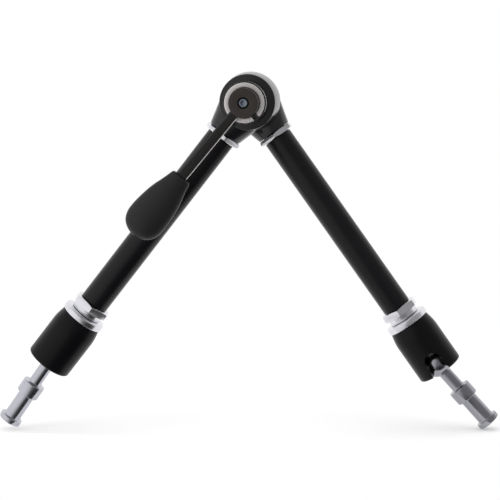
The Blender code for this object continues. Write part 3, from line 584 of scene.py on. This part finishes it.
def lever_sheen_wear_group():
    """Where bare steel shows along the bar's lower edge, as wear and as painted highlight, and where the hub's
    turned face lies.
    """
    tree, given, out = effect_group("lever sheen and wear", [
        ("Place", "NodeSocketVector", None), ("Center", "NodeSocketVector", (0, 0, 0)),
        ("Along", "NodeSocketVector", (1, 0, 0)), ("Out", "NodeSocketVector", (0, 0, 1)),
        ("Hub Radius", "NodeSocketFloat", 0.01), ("Half Width", "NodeSocketFloat", 0.003),
        ("Taper", "NodeSocketFloat", 0.0), ("Ragged", "NodeSocketFloat", 0.0002)],
        [("Sheen_Wear", "NodeSocketFloat"), ("Hub", "NodeSocketFloat")])

    def vector(operation, *terms):
        return linked(tree, "ShaderNodeVectorMath", enumerate(terms), operation=operation).outputs

    def faded(value, low, high):
        sources = [("Value", value), ("From Min", low), ("From Max", high)]
        return linked(tree, "ShaderNodeMapRange", sources,
                      interpolation_type="SMOOTHSTEP").outputs["Result"]

    offset = vector("SUBTRACT", given["Place"], given["Center"])[0]
    across = vector("CROSS_PRODUCT", given["Out"], given["Along"])[0]
    along = vector("DOT_PRODUCT", offset, given["Along"])["Value"]
    aside = vector("DOT_PRODUCT", offset, across)["Value"]
    flat = vector("CROSS_PRODUCT", offset, given["Out"])[0]
    reach = vector("LENGTH", flat)["Value"]
    edge = math_of(tree, "MULTIPLY_ADD", along, given["Taper"], given["Half Width"])
    beyond = math_of(tree, "SUBTRACT", aside, edge)
    speck = noise(tree, given["Place"], scale=350.0, detail=5.0, roughness=0.7)
    ragged = math_of(tree, "MULTIPLY_ADD", speck, given["Ragged"], beyond)
    clear = faded(math_of(tree, "SUBTRACT", along, given["Hub Radius"]), 0.0, HUB_CLEAR)
    inside = math_of(tree, "SUBTRACT", given["Hub Radius"], reach)
    tree.links.new(math_of(tree, "MULTIPLY", faded(ragged, SHEEN_WEAR_START, SHEEN_WEAR_FULL), clear), out["Sheen_Wear"])
    tree.links.new(faded(inside, FACE_START, FACE_FULL), out["Hub"])
    return tree


lever_coat = Finish("brown-black lever coating", (0.01, 0.01, 0.01), 0.33, Specular_IOR_Level=0.22)
coat = lever_coat.effect(worn_coat, Dark=(0.006, 0.0053, 0.005, 1), Pale=(0.012, 0.0105, 0.010, 1),
                         Gloss=0.33, Spread=0.14, Peel=1200.0, Depth=0.1)
marks = lever_coat.effect(lever_sheen_wear_group(), Center=elbow_point, Along=lever_along, Out=out_of_elbow,
                          Hub_Radius=HUB_RADIUS, Half_Width=BAR_ROOT_WIDTH / 2,
                          Taper=(BAR_TIP_WIDTH - BAR_ROOT_WIDTH) / 2 / BAR_END, Ragged=SHEEN_WEAR_RAGGED)
hub_toned = blended(lever_coat.tree, marks["Hub"], coat["Color"], TURNED_FACE)
lever_coat.wear_all(coat)
# Bare steel along the bar's lower edge: wear, and a painted highlight of the edge.
lever_coat.wear("Base Color", blended(lever_coat.tree, marks["Sheen_Wear"], hub_toned, SHEEN_WEAR_STEEL))
lever_coat.wear("Metallic", marks["Sheen_Wear"])
dress(lever, lever_coat.material)
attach(lever, "lever")
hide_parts("lock_lever")

# LEVER GRIP. An egg-shaped moulding of matt black thermoplastic rubber, flattened front to back,
# with a fine spark texture. It is pushed onto the bar's end.

GRIP_START = 63.3 * MM
GRIP_FLATNESS = 0.55
GRIP_OUTLINE = [(0, 6.1), (1.0, 7.1), (4.5, 8.0), (9.6, 9.35), (14, 10.7), (18.7, 11.8), (23, 12.5),
                (27.2, 13.05), (32, 13.45), (36, 13.55), (39.6, 13.25), (43, 12.2), (45.6, 10.7),
                (47.6, 8.6), (49.1, 6.0), (50.1, 3.1), (50.5, 0)]
GRIP_CLEARANCE = 0.3 * MM
CURVE_STEPS = 6


def smoothed(points):
    """A Catmull-Rom curve through the points."""
    ends = [points[0]] + points + [points[-1]]
    made = []
    for i in range(len(points) - 1):
        a, b, c, d = [Vector(point) for point in ends[i:i + 4]]
        for step in range(CURVE_STEPS):
            t = step / CURVE_STEPS
            made.append(0.5 * ((2 * b) + (c - a) * t + (2 * a - 5 * b + 4 * c - d) * t ** 2
                               + (3 * b - a - 3 * c + d) * t ** 3))
    made.append(Vector(points[-1]))
    return made


profile = [(max(point.y, 0) * MM, point.x * MM) for point in smoothed(GRIP_OUTLINE)]
profile[-1] = (0, profile[-1][1])
bar_middle = BAR_FOOT + BAR_THICKNESS / 2
grip_place = (lever_place @ Matrix.Translation((GRIP_START, 0, bar_middle))
              @ Matrix.Rotation(math.radians(90), 4, "Y") @ Matrix.Diagonal((GRIP_FLATNESS, 1, 1, 1)))
grip = piece_from("palm_grip", spun([(0, 0)] + profile, MIDDLE_FACETS), grip_place)
socket_half = BAR_TIP_WIDTH / 2 + GRIP_CLEARANCE
socket_height = BAR_THICKNESS / 2 + GRIP_CLEARANCE
socket_end = BAR_END + GRIP_CLEARANCE - GRIP_START
grip_slot = slab([(-OVERCUT, -socket_half), (socket_end, -socket_half), (socket_end, socket_half),
                  (-OVERCUT, socket_half)], bar_middle - socket_height, bar_middle + socket_height)
shaped(grip, grip_slot, lever_place @ Matrix.Translation((GRIP_START, 0, 0)))
soft_rubber = coated("soft matt grip", (0.0075, 0.0075, 0.0088), (0.013, 0.013, 0.0145),
                     roughness=0.42, spread=0.14, peel=2400.0, depth=0.25, Specular_IOR_Level=0.3)
dress(grip, soft_rubber)
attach(grip, "lever")
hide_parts("lever_grip")

# LEVER SCREW. A blued socket-head screw of turned steel, sunk in the hub. It ties the lever to the
# shaft's end.

SCREW_RADIUS = 2.4 * MM
SCREW_FOOT = 37.7 * MM
SCREW_HEAD_FOOT = 50.7 * MM
SCREW_HEAD_RADIUS = 2.95 * MM
SCREW_TOP = 53.9 * MM
SCREW_EDGE = 0.45 * MM
SCREW_HEX_FLATS = 3.2 * MM
SCREW_HEX_DEPTH = 2.2 * MM
SCREW_BREAK = 0.12 * MM


def corner_reach(flats):
    """How far a hexagon's corners lie from its middle."""
    return flats / 2 / math.cos(math.radians(30))


def hexagon(flats, turn=0):
    """A hexagon by its width across flats, turned by some degrees."""
    reach = corner_reach(flats)
    corners = [math.radians(60 * i + turn) for i in range(6)]
    return [(reach * math.cos(angle), reach * math.sin(angle)) for angle in corners]


screw_outline = [(0, SCREW_FOOT), (SCREW_RADIUS, SCREW_FOOT, SCREW_EDGE),
                 (SCREW_RADIUS, SCREW_HEAD_FOOT), (SCREW_HEAD_RADIUS, SCREW_HEAD_FOOT),
                 (SCREW_HEAD_RADIUS, SCREW_TOP, SCREW_EDGE), (0, SCREW_TOP)]
screw = piece_from("hub_screw", spun(bend(screw_outline), SMALL_FACETS), lever_place)
hex_socket = slab(hexagon(SCREW_HEX_FLATS), SCREW_TOP - SCREW_HEX_DEPTH, SCREW_TOP + OVERCUT)
shaped(screw, hex_socket, lever_place)
eased(screw, SCREW_BREAK, angle=50)
blued = metal("blued screw steel", lever_place, (0.26, 0.30, 0.36), (0.16, 0.19, 0.24),
              roughness=0.3, spread=0.15, rings=2600.0, depth=0.1)
dress(screw, blued)
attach(screw, "lever")
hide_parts("lever_screw")

# ARM TUBES. Two drawn aluminium tubes, black anodised, turned down and threaded at both ends: one
# end screws into the casting's snout, the other carries the nut and the swivel.

TUBE_RADIUS = 10.0 * MM
TUBE_BORE = 7.3 * MM
TUBE_TAIL = 8.8 * MM
TUBE_FOOT = 14.8 * MM
TUBE_START = 30.5 * MM
TUBE_END = 174.7 * MM
TAIL_END = 198.4 * MM
TUBE_EDGE = 0.45 * MM
SIDES = ("base", "head")

anodised = coated("black anodised tube", (0.0032, 0.0032, 0.0042), (0.006, 0.006, 0.0074),
                  roughness=0.27, spread=0.10, peel=1500.0, depth=0.04, Specular_IOR_Level=0.24)
tube_outline = [(TUBE_BORE, TUBE_FOOT), (TUBE_TAIL, TUBE_FOOT), (TUBE_TAIL, TUBE_START),
                (TUBE_RADIUS, TUBE_START, TUBE_EDGE), (TUBE_RADIUS, TUBE_END, TUBE_EDGE),
                (TUBE_TAIL, TUBE_END), (TUBE_TAIL, TAIL_END), (TUBE_BORE, TAIL_END)]
for side in SIDES:
    tube = piece_from(side + "_arm_tube", spun(bend(tube_outline)), arm_place[side])
    dress(tube, anodised)
    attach(tube, side + "_arm")
    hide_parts(side + "_tube")

# JAM NUTS AND END NUTS. Chamfered hexagon nuts in bright satin nickel. The thin ones lock the tubes
# in the snouts; the outer ones have a round neck that the swivel bush runs against.

JAM_START = 26.6 * MM
JAM_END = 30.2 * MM
END_START = 175.0 * MM
END_HEX_END = 180.4 * MM
NECK_END = 184.1 * MM
NECK_RADIUS = 10.9 * MM
NUT_FLATS = 24.0 * MM
NUT_CROWN = 1.1 * MM
NUT_CORNER = 0.9 * MM
NUT_INSET = 0.2 * MM
NUT_EASE = 0.25 * MM
JAM_TURN = {"base": 15, "head": 31}
END_TURN = {"base": 22, "head": 33}

nickel = {side: metal(side + " satin nickel", arm_place[side], (0.80, 0.80, 0.84), (0.70, 0.70, 0.74),
                      roughness=0.2, spread=0.12, rings=1600.0, depth=0.08) for side in SIDES}


def hexagon_nut(name, place, turn, start, hex_end, neck_end):
    """A hexagon trimmed by a turned form that chamfers its corners and makes its neck."""
    piece = piece_from(name, slab(hexagon(NUT_FLATS, turn), start - OVERCUT, neck_end + OVERCUT), place)
    corner = corner_reach(NUT_FLATS) + NUT_CORNER
    face = NUT_FLATS / 2 - NUT_INSET
    form = [(SOCKET_RADIUS, start), (face, start), (corner, start + NUT_CROWN),
            (corner, hex_end - NUT_CROWN), (face, hex_end)]
    if neck_end > hex_end:
        form += [(NECK_RADIUS, hex_end, NUT_EASE), (NECK_RADIUS, neck_end, NUT_EASE)]
    form += [(SOCKET_RADIUS, neck_end)]
    shaped(piece, spun(bend(form)), place, "INTERSECT")
    eased(piece, NUT_EASE, angle=25)
    return piece


for side in SIDES:
    jam = hexagon_nut(side + "_lock_nut", arm_place[side], JAM_TURN[side],
                      start=JAM_START, hex_end=JAM_END, neck_end=JAM_END)
    end = hexagon_nut(side + "_neck_nut", arm_place[side], END_TURN[side],
                      start=END_START, hex_end=END_HEX_END, neck_end=NECK_END)
    for piece, node in ((jam, "_jam_nut"), (end, "_end_nut")):
        dress(piece, nickel[side])
        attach(piece, side + "_arm")
        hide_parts(side + node)

# RODS, GUIDES, COLLARS AND PADS. Inside each tube: the steel push rod in its nylon guide, the
# collar on the tube's tail that keeps the swivel on, and the nylon pad that presses on the ball.

PAD_START = 206.0 * MM
PAD_WAIST = 207.5 * MM
PAD_RADIUS = 9.9 * MM
PAD_FOOT_START = 211.0 * MM
PAD_FOOT_RADIUS = 4.6 * MM
ROD_END = 209.0 * MM
BALL_DISTANCE = 223.0 * MM
BALL_SEAT = 10.3 * MM
PAD_STEPS = 16


def bow(center, radius, start, end, steps):
    """Points on an arc in the (radius, height) plane; degrees from the outward direction."""
    angles = [math.radians(start + (end - start) * i / steps) for i in range(steps + 1)]
    return [(center[0] + radius * math.cos(angle), center[1] + radius * math.sin(angle))
            for angle in angles]


nylon = coated("natural nylon", (0.66, 0.64, 0.58), (0.74, 0.72, 0.66),
               roughness=0.5, spread=0.15, peel=500.0, depth=0.2)
pad_rim = -math.degrees(math.acos(PAD_FOOT_RADIUS / BALL_SEAT))
pad_outline = [(0, ROD_END), (ROD_BORE, ROD_END), (ROD_BORE, PAD_START), (PAD_RADIUS, PAD_START),
               (PAD_RADIUS, PAD_WAIST), (PAD_FOOT_RADIUS, PAD_FOOT_START)]
pad_outline += bow((0, BALL_DISTANCE), BALL_SEAT, pad_rim, -90, PAD_STEPS)
for side in SIDES:
    for part in ("_push_rod", "_tail_collar"):
        dress(frame["nodes"][side + part], oiled_steel)
    dress(frame["nodes"][side + "_rod_guide"], nylon)
    pad = piece_from(side + "_pressure_pad", spun(pad_outline, SMALL_FACETS), arm_place[side])
    dress(pad, nylon)
    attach(pad, side + "_push")
    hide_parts(side + "_ball_pad")

# SWIVEL BUSHES. Bright nickel flanges with rounded rims that turn on the tubes' tails. Each one's
# skirt screws into its sleeve.

BUSH_START = 184.4 * MM
BUSH_SEAT = 188.9 * MM
BUSH_RADIUS = 15.3 * MM
BUSH_RIM = 1.3 * MM
BUSH_SKIRT = 12.0 * MM
BUSH_END = 195.1 * MM
RIM_STEPS = 5

bush_outline = [(SOCKET_RADIUS, BUSH_START), (BUSH_RADIUS, BUSH_START, BUSH_RIM),
                (BUSH_RADIUS, BUSH_SEAT, BUSH_RIM / 3), (BUSH_SKIRT, BUSH_SEAT), (BUSH_SKIRT, BUSH_END),
                (SOCKET_RADIUS, BUSH_END)]
for side in SIDES:
    bush = piece_from(side + "_flange_bush", spun(bend(bush_outline, RIM_STEPS)), arm_place[side])
    dress(bush, nickel[side])
    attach(bush, side + "_sleeve")
    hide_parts(side + "_swivel_bush")

# BALL SLEEVES. Flared sleeves turned from steel bar and painted satin black. Each holds a ball in a
# spherical seat, and a slot across one side of its mouth lets the stud fold down square.

SLEEVE_START = 189.2 * MM
SLEEVE_END = 228.6 * MM
SLEEVE_TOP_RADIUS = 14.5 * MM
SLEEVE_RADIUS = 16.1 * MM
SLEEVE_FLARE = 11.0 * MM
SLEEVE_EDGE = 1.8 * MM
SLEEVE_TOP_EDGE = 0.4 * MM
SLEEVE_STEP = 199.6 * MM
SLEEVE_THREAD = 12.3 * MM
SLOT_WIDTH = 10.4 * MM
SLOT_CENTER = 218.5 * MM
SLOT_THROAT = math.radians(21)
SLOT_FLOOR = 5.0 * MM
SLOT_DRAFT = 0.18
SLOT_ENTRY = 13.2 * MM
SLOT_EASE = 0.3 * MM
SLOT_FLARE = 1.8
SLOT_OVERSHOOT = 0.3
FLARE_STEPS = 16
RIM_ARC_STEPS = 8
SEAT_STEPS = 12
SLOT_STEPS = 40
MOUTH_STEPS = 10

sleeve_paint = coated("satin black sleeve paint", (0.002, 0.002, 0.0026), (0.004, 0.004, 0.005),
                      roughness=0.27, spread=0.12, peel=900.0, depth=0.06, Specular_IOR_Level=0.15)


def sleeve_outline():
    """The sleeve's half section: flared outside, spherical seat and stepped bore inside."""
    flare = []
    for i in range(FLARE_STEPS + 1):
        share = i / FLARE_STEPS
        swell = math.sin(math.pi / 2 * share)
        flare.append((SLEEVE_TOP_RADIUS + (SLEEVE_RADIUS - SLEEVE_TOP_RADIUS) * swell,
                      SLEEVE_START + SLEEVE_TOP_EDGE + (SLEEVE_FLARE - SLEEVE_TOP_EDGE) * share))
    rim = (SLEEVE_RADIUS - SLEEVE_EDGE, SLEEVE_END - SLEEVE_EDGE)
    mouth = bow(rim, SLEEVE_EDGE, 0, 90, RIM_ARC_STEPS)
    lip = math.degrees(math.asin((SLEEVE_END - BALL_DISTANCE) / BALL_SEAT))
    seat = bow((0, BALL_DISTANCE), BALL_SEAT, lip, 0, SEAT_STEPS)
    top = [(SLEEVE_THREAD, SLEEVE_START), (SLEEVE_TOP_RADIUS - SLEEVE_TOP_EDGE, SLEEVE_START)]
    return top + flare + mouth + seat + [(BALL_SEAT, SLEEVE_STEP), (SLEEVE_THREAD, SLEEVE_STEP)]


def slot_outline(reach):
    """The slot at a distance from the axis: round end, narrower throat, and a flared mouth."""
    grow = (reach - BALL_SEAT) * SLOT_DRAFT
    radius, entry = SLOT_WIDTH / 2 + grow, SLOT_ENTRY / 2 + grow / 2
    throat = radius * math.cos(SLOT_THROAT)
    start = SLOT_CENTER + radius * math.sin(SLOT_THROAT)
    depth = SLEEVE_END - start
    flare = entry - throat
    sides = [(throat + flare * (i / MOUTH_STEPS) ** SLOT_FLARE, start + depth * i / MOUTH_STEPS)
             for i in range(1, MOUTH_STEPS + 1)]
    sides += [(entry + flare * SLOT_OVERSHOOT, SLEEVE_END + OVERCUT)]
    end = bow((0, SLOT_CENTER), radius, -180 - math.degrees(SLOT_THROAT),
              math.degrees(SLOT_THROAT), SLOT_STEPS)
    outline = [(-x, z) for x, z in reversed(sides)] + end + sides
    return [(x, reach, z) for x, z in outline]


for side in SIDES:
    sleeve = piece_from(side + "_socket_sleeve", spun(sleeve_outline()), arm_place[side])
    slot = lofted(slot_outline(SLOT_FLOOR), slot_outline(2 * SLEEVE_RADIUS))
    shaped(sleeve, slot, arm_place[side])
    eased(sleeve, SLOT_EASE, segments=3, angle=45)
    dress(sleeve, sleeve_paint)
    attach(sleeve, side + "_sleeve")
    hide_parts(side + "_ball_sleeve")

# BALL STUDS. Each is turned from one steel bar, polished and nickel plated: the ball, a plain stem,
# then the 16 mm spigot with its collar, waist and end flange. The two share one plating, painted
# lighter on the base stud as painted light and darker on the head stud as painted shade.

BALL_RADIUS = 10.0 * MM
STEM_RADIUS = 4.55 * MM
STEM_FILLET = 0.8 * MM
COLLAR_START = 23.2 * MM
COLLAR_END = 32.9 * MM
WAIST_END = 52.0 * MM
STUD_END = 55.8 * MM
SPIGOT_RADIUS = 8.0 * MM
WAIST_RADIUS = 5.8 * MM
SPIGOT_EDGE = 0.7 * MM
WAIST_FILLET = 0.5 * MM
# Painted light level of each stud's plating: the base stud is painted lit, the head stud painted in shade.
STUD_PAINTED_LIGHT_LEVEL = {"base": 0.57, "head": 0.37}
PLATE_BRIGHT = (1, 1, 1.09)
PLATE_DULL = (0.84, 0.84, 0.93)
BALL_STEPS = 40

root_angle = math.degrees(math.acos(STEM_RADIUS / BALL_RADIUS))
stud_outline = bow((0, 0), BALL_RADIUS, -90, root_angle, BALL_STEPS)
stud_outline[0] = (0, -BALL_RADIUS)
stud_outline += bend([(STEM_RADIUS, COLLAR_START - 2 * STEM_FILLET),
                      (STEM_RADIUS, COLLAR_START, STEM_FILLET),
                      (SPIGOT_RADIUS, COLLAR_START, SPIGOT_EDGE),
                      (SPIGOT_RADIUS, COLLAR_END, SPIGOT_EDGE),
                      (WAIST_RADIUS, COLLAR_END, WAIST_FILLET),
                      (WAIST_RADIUS, WAIST_END, WAIST_FILLET),
                      (SPIGOT_RADIUS, WAIST_END, SPIGOT_EDGE / 2),
                      (SPIGOT_RADIUS, STUD_END, SPIGOT_EDGE), (0, STUD_END)])
facing = {mount["name"]: mount["axis"] for mount in frame["record"]["mounts"]}
for side in SIDES:
    ball_point = joint_of[side + "_tilt"]["pos_m"]
    stud_place = axes_at(ball_point, facing[side + "_spigot_face"], (0, 1, 0))
    stud = piece_from(side + "_spigot_stud", spun(stud_outline), stud_place)
    # The plating colour is scaled by the stud's painted light level.
    bright, dull = [[share * STUD_PAINTED_LIGHT_LEVEL[side] for share in tint] for tint in (PLATE_BRIGHT, PLATE_DULL)]
    polish = metal(side + " plate with painted light level", stud_place, bright, dull,
                   roughness=0.17, spread=0.12, rings=1200.0, depth=0.08)
    dress(stud, polish)
    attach(stud, side + "_stud")
    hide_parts(side + "_ball_stud")

# FLOOR, SURROUNDINGS, LIGHTS AND CAMERA. A plain pale floor under the spigots, and white
# surroundings, as in a light tent. Reflections see the tent's white walls behind the arm and its
# dimmer open front.

FLOOR_GAP = 0.2 * MM
FLOOR_SIDES = (-0.5, 0.85)
FLOOR_DEPTH = (-0.011, 0.45)
FLOOR_GREY = (0.9, 0.9, 0.9)
FLOOR_ROUGHNESS = 0.9
FLOOR_LIFT = 0.2
WHITE = (1, 1, 1, 1)
DAYLIGHT = 0.78
TENT_WALL = [(0.30, 1.0), (0.42, 1.0), (0.47, 0.85), (0.53, 0.60), (0.62, 0.44), (0.75, 0.34),
             (1.0, 0.31)]
LIT_SIDE = [(0.64, 0.0), (0.70, 0.35), (0.745, 0.60), (0.80, 0.72), (0.90, 0.88), (0.98, 1.0)]
DARK_CORNER = [(0.83, 1.0), (0.88, 0.75), (0.93, 0.36), (0.97, 0.14), (1.0, 0.08)]
LIT_AIM = Vector((-0.90, -0.40, 0.10))
DARK_AIM = Vector((0.50, -0.55, -0.67))
LAMP_TARGET = Vector((0.17, 0, 0.13))
PHOTO_SIDE = 500
SENSOR_WIDTH = 36
FOCAL_PIXELS = 1555.84
CAMERA_SPOT = elbow_point + Vector((93.87, -1063.98, 20.97)) * MM
CAMERA_YAW = math.radians(5.035)
CAMERA_PITCH = math.radians(6.499)
CAMERA_LENS = FOCAL_PIXELS / PHOTO_SIDE * SENSOR_WIDTH
CAMERA_SHIFT = (-0.67 / PHOTO_SIDE, -2.12 / PHOTO_SIDE)
NEAR_CLIP = 0.01

low = min(point[2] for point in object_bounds()) - FLOOR_GAP
floor_mesh = bpy.data.meshes.new("studio_floor")
(left_side, right_side), (front_side, back_side) = FLOOR_SIDES, FLOOR_DEPTH
floor_mesh.from_pydata([(left_side, front_side, low), (right_side, front_side, low),
                        (right_side, back_side, low), (left_side, back_side, low)], [], [(0, 1, 2, 3)])
floor = bpy.data.objects.new("studio_floor", floor_mesh)
bpy.context.collection.objects.link(floor)


def seen_rays(tree):
    """Light path outputs, and a value of 1 for what the camera sees, directly or through glass."""
    ray = linked(tree, "ShaderNodeLightPath").outputs
    return ray, math_of(tree, "MAXIMUM", ray["Is Camera Ray"], ray["Is Transmission Ray"])


floor_finish = Finish("pale floor", FLOOR_GREY, FLOOR_ROUGHNESS, Specular_IOR_Level=0.0,
                      Emission_Color=WHITE)
ray, seen = seen_rays(floor_finish.tree)
watched = math_of(floor_finish.tree, "MAXIMUM", seen, ray["Is Glossy Ray"])
floor_finish.wear("Emission Strength", math_of(floor_finish.tree, "MULTIPLY", watched, FLOOR_LIFT))
floor_mesh.materials.append(floor_finish.material)
floor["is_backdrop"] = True

world = bpy.data.worlds.new("light tent")
bpy.context.scene.world = world
world.use_nodes = True
sky = world.node_tree
sky.nodes.clear()
direction = linked(sky, "ShaderNodeTexCoord").outputs["Generated"]
front_aim = Vector((math.sin(CAMERA_YAW), -math.cos(CAMERA_YAW), math.sin(CAMERA_PITCH)))


def toned(aim, stops):
    """A grey by how near a direction is to an aim: stops run from 0, opposite, to 1, on the aim."""
    near = linked(sky, "ShaderNodeVectorMath", [(0, direction), (1, aim.normalized())],
                  operation="DOT_PRODUCT").outputs["Value"]
    shades = linked(sky, "ShaderNodeValToRGB", [("Fac", math_of(sky, "MULTIPLY_ADD", near, 0.5, 0.5))])
    ramp = shades.color_ramp
    while len(ramp.elements) < len(stops):
        ramp.elements.new(0.5)
    for element, (position, grey) in zip(ramp.elements, stops):
        element.position = position
        element.color = (grey, grey, grey, 1)
    return shades.outputs[0]


def glow(strength):
    """White light of a given strength."""
    sources = [("Color", WHITE), ("Strength", strength)]
    return linked(sky, "ShaderNodeBackground", sources).outputs[0]


def switched(share, first, second):
    """The second light where the share is 1, and the first where it is 0."""
    return linked(sky, "ShaderNodeMixShader", [(0, share), (1, first), (2, second)]).outputs[0]


dimmed = math_of(sky, "MULTIPLY", toned(front_aim, TENT_WALL), toned(DARK_AIM, DARK_CORNER))
walls = math_of(sky, "MAXIMUM", dimmed, toned(LIT_AIM, LIT_SIDE))
ray, seen = seen_rays(sky)
unseen = switched(ray["Is Glossy Ray"], glow(DAYLIGHT), glow(walls))
linked(sky, "ShaderNodeOutputWorld", [("Surface", switched(seen, unseen, glow(1.0)))])


def softbox(name, offset, width, height, energy):
    """A rectangular lamp aimed at the arm's middle, which reflections don't show."""
    lamp = bpy.data.lights.new(name, "AREA")
    lamp.shape = "RECTANGLE"
    lamp.size = width
    lamp.size_y = height
    lamp.energy = energy
    box = bpy.data.objects.new(name, lamp)
    bpy.context.collection.objects.link(box)
    spot = LAMP_TARGET + Vector(offset)
    aim = (LAMP_TARGET - spot).to_track_quat("-Z", "Y").to_matrix().to_4x4()
    box.matrix_world = Matrix.Translation(spot) @ aim
    box.visible_glossy = False


softbox("left softbox", (-1.1, -0.9, 0.6), width=1.0, height=1.2, energy=6)
softbox("right softbox", (1.3, -0.7, 0.3), width=0.7, height=1.2, energy=2.5)
softbox("top softbox", (0, 0.1, 1.4), width=1.4, height=1.0, energy=3)

camera = bpy.data.objects.new("camera", bpy.data.cameras.new("camera"))
bpy.context.collection.objects.link(camera)
camera.data.sensor_width = SENSOR_WIDTH
camera.data.lens = CAMERA_LENS
camera.data.shift_x, camera.data.shift_y = CAMERA_SHIFT
camera.data.clip_start = NEAR_CLIP
right = Vector((math.cos(CAMERA_YAW), math.sin(CAMERA_YAW), 0))
look = Vector((-math.sin(CAMERA_YAW) * math.cos(CAMERA_PITCH),
               math.cos(CAMERA_YAW) * math.cos(CAMERA_PITCH), -math.sin(CAMERA_PITCH)))
camera_turn = Matrix((right, right.cross(look), -look)).transposed()
camera.matrix_world = Matrix.Translation(CAMERA_SPOT) @ camera_turn.to_4x4()
bpy.context.scene.camera = camera
bpy.context.scene.view_settings.view_transform = "Standard"
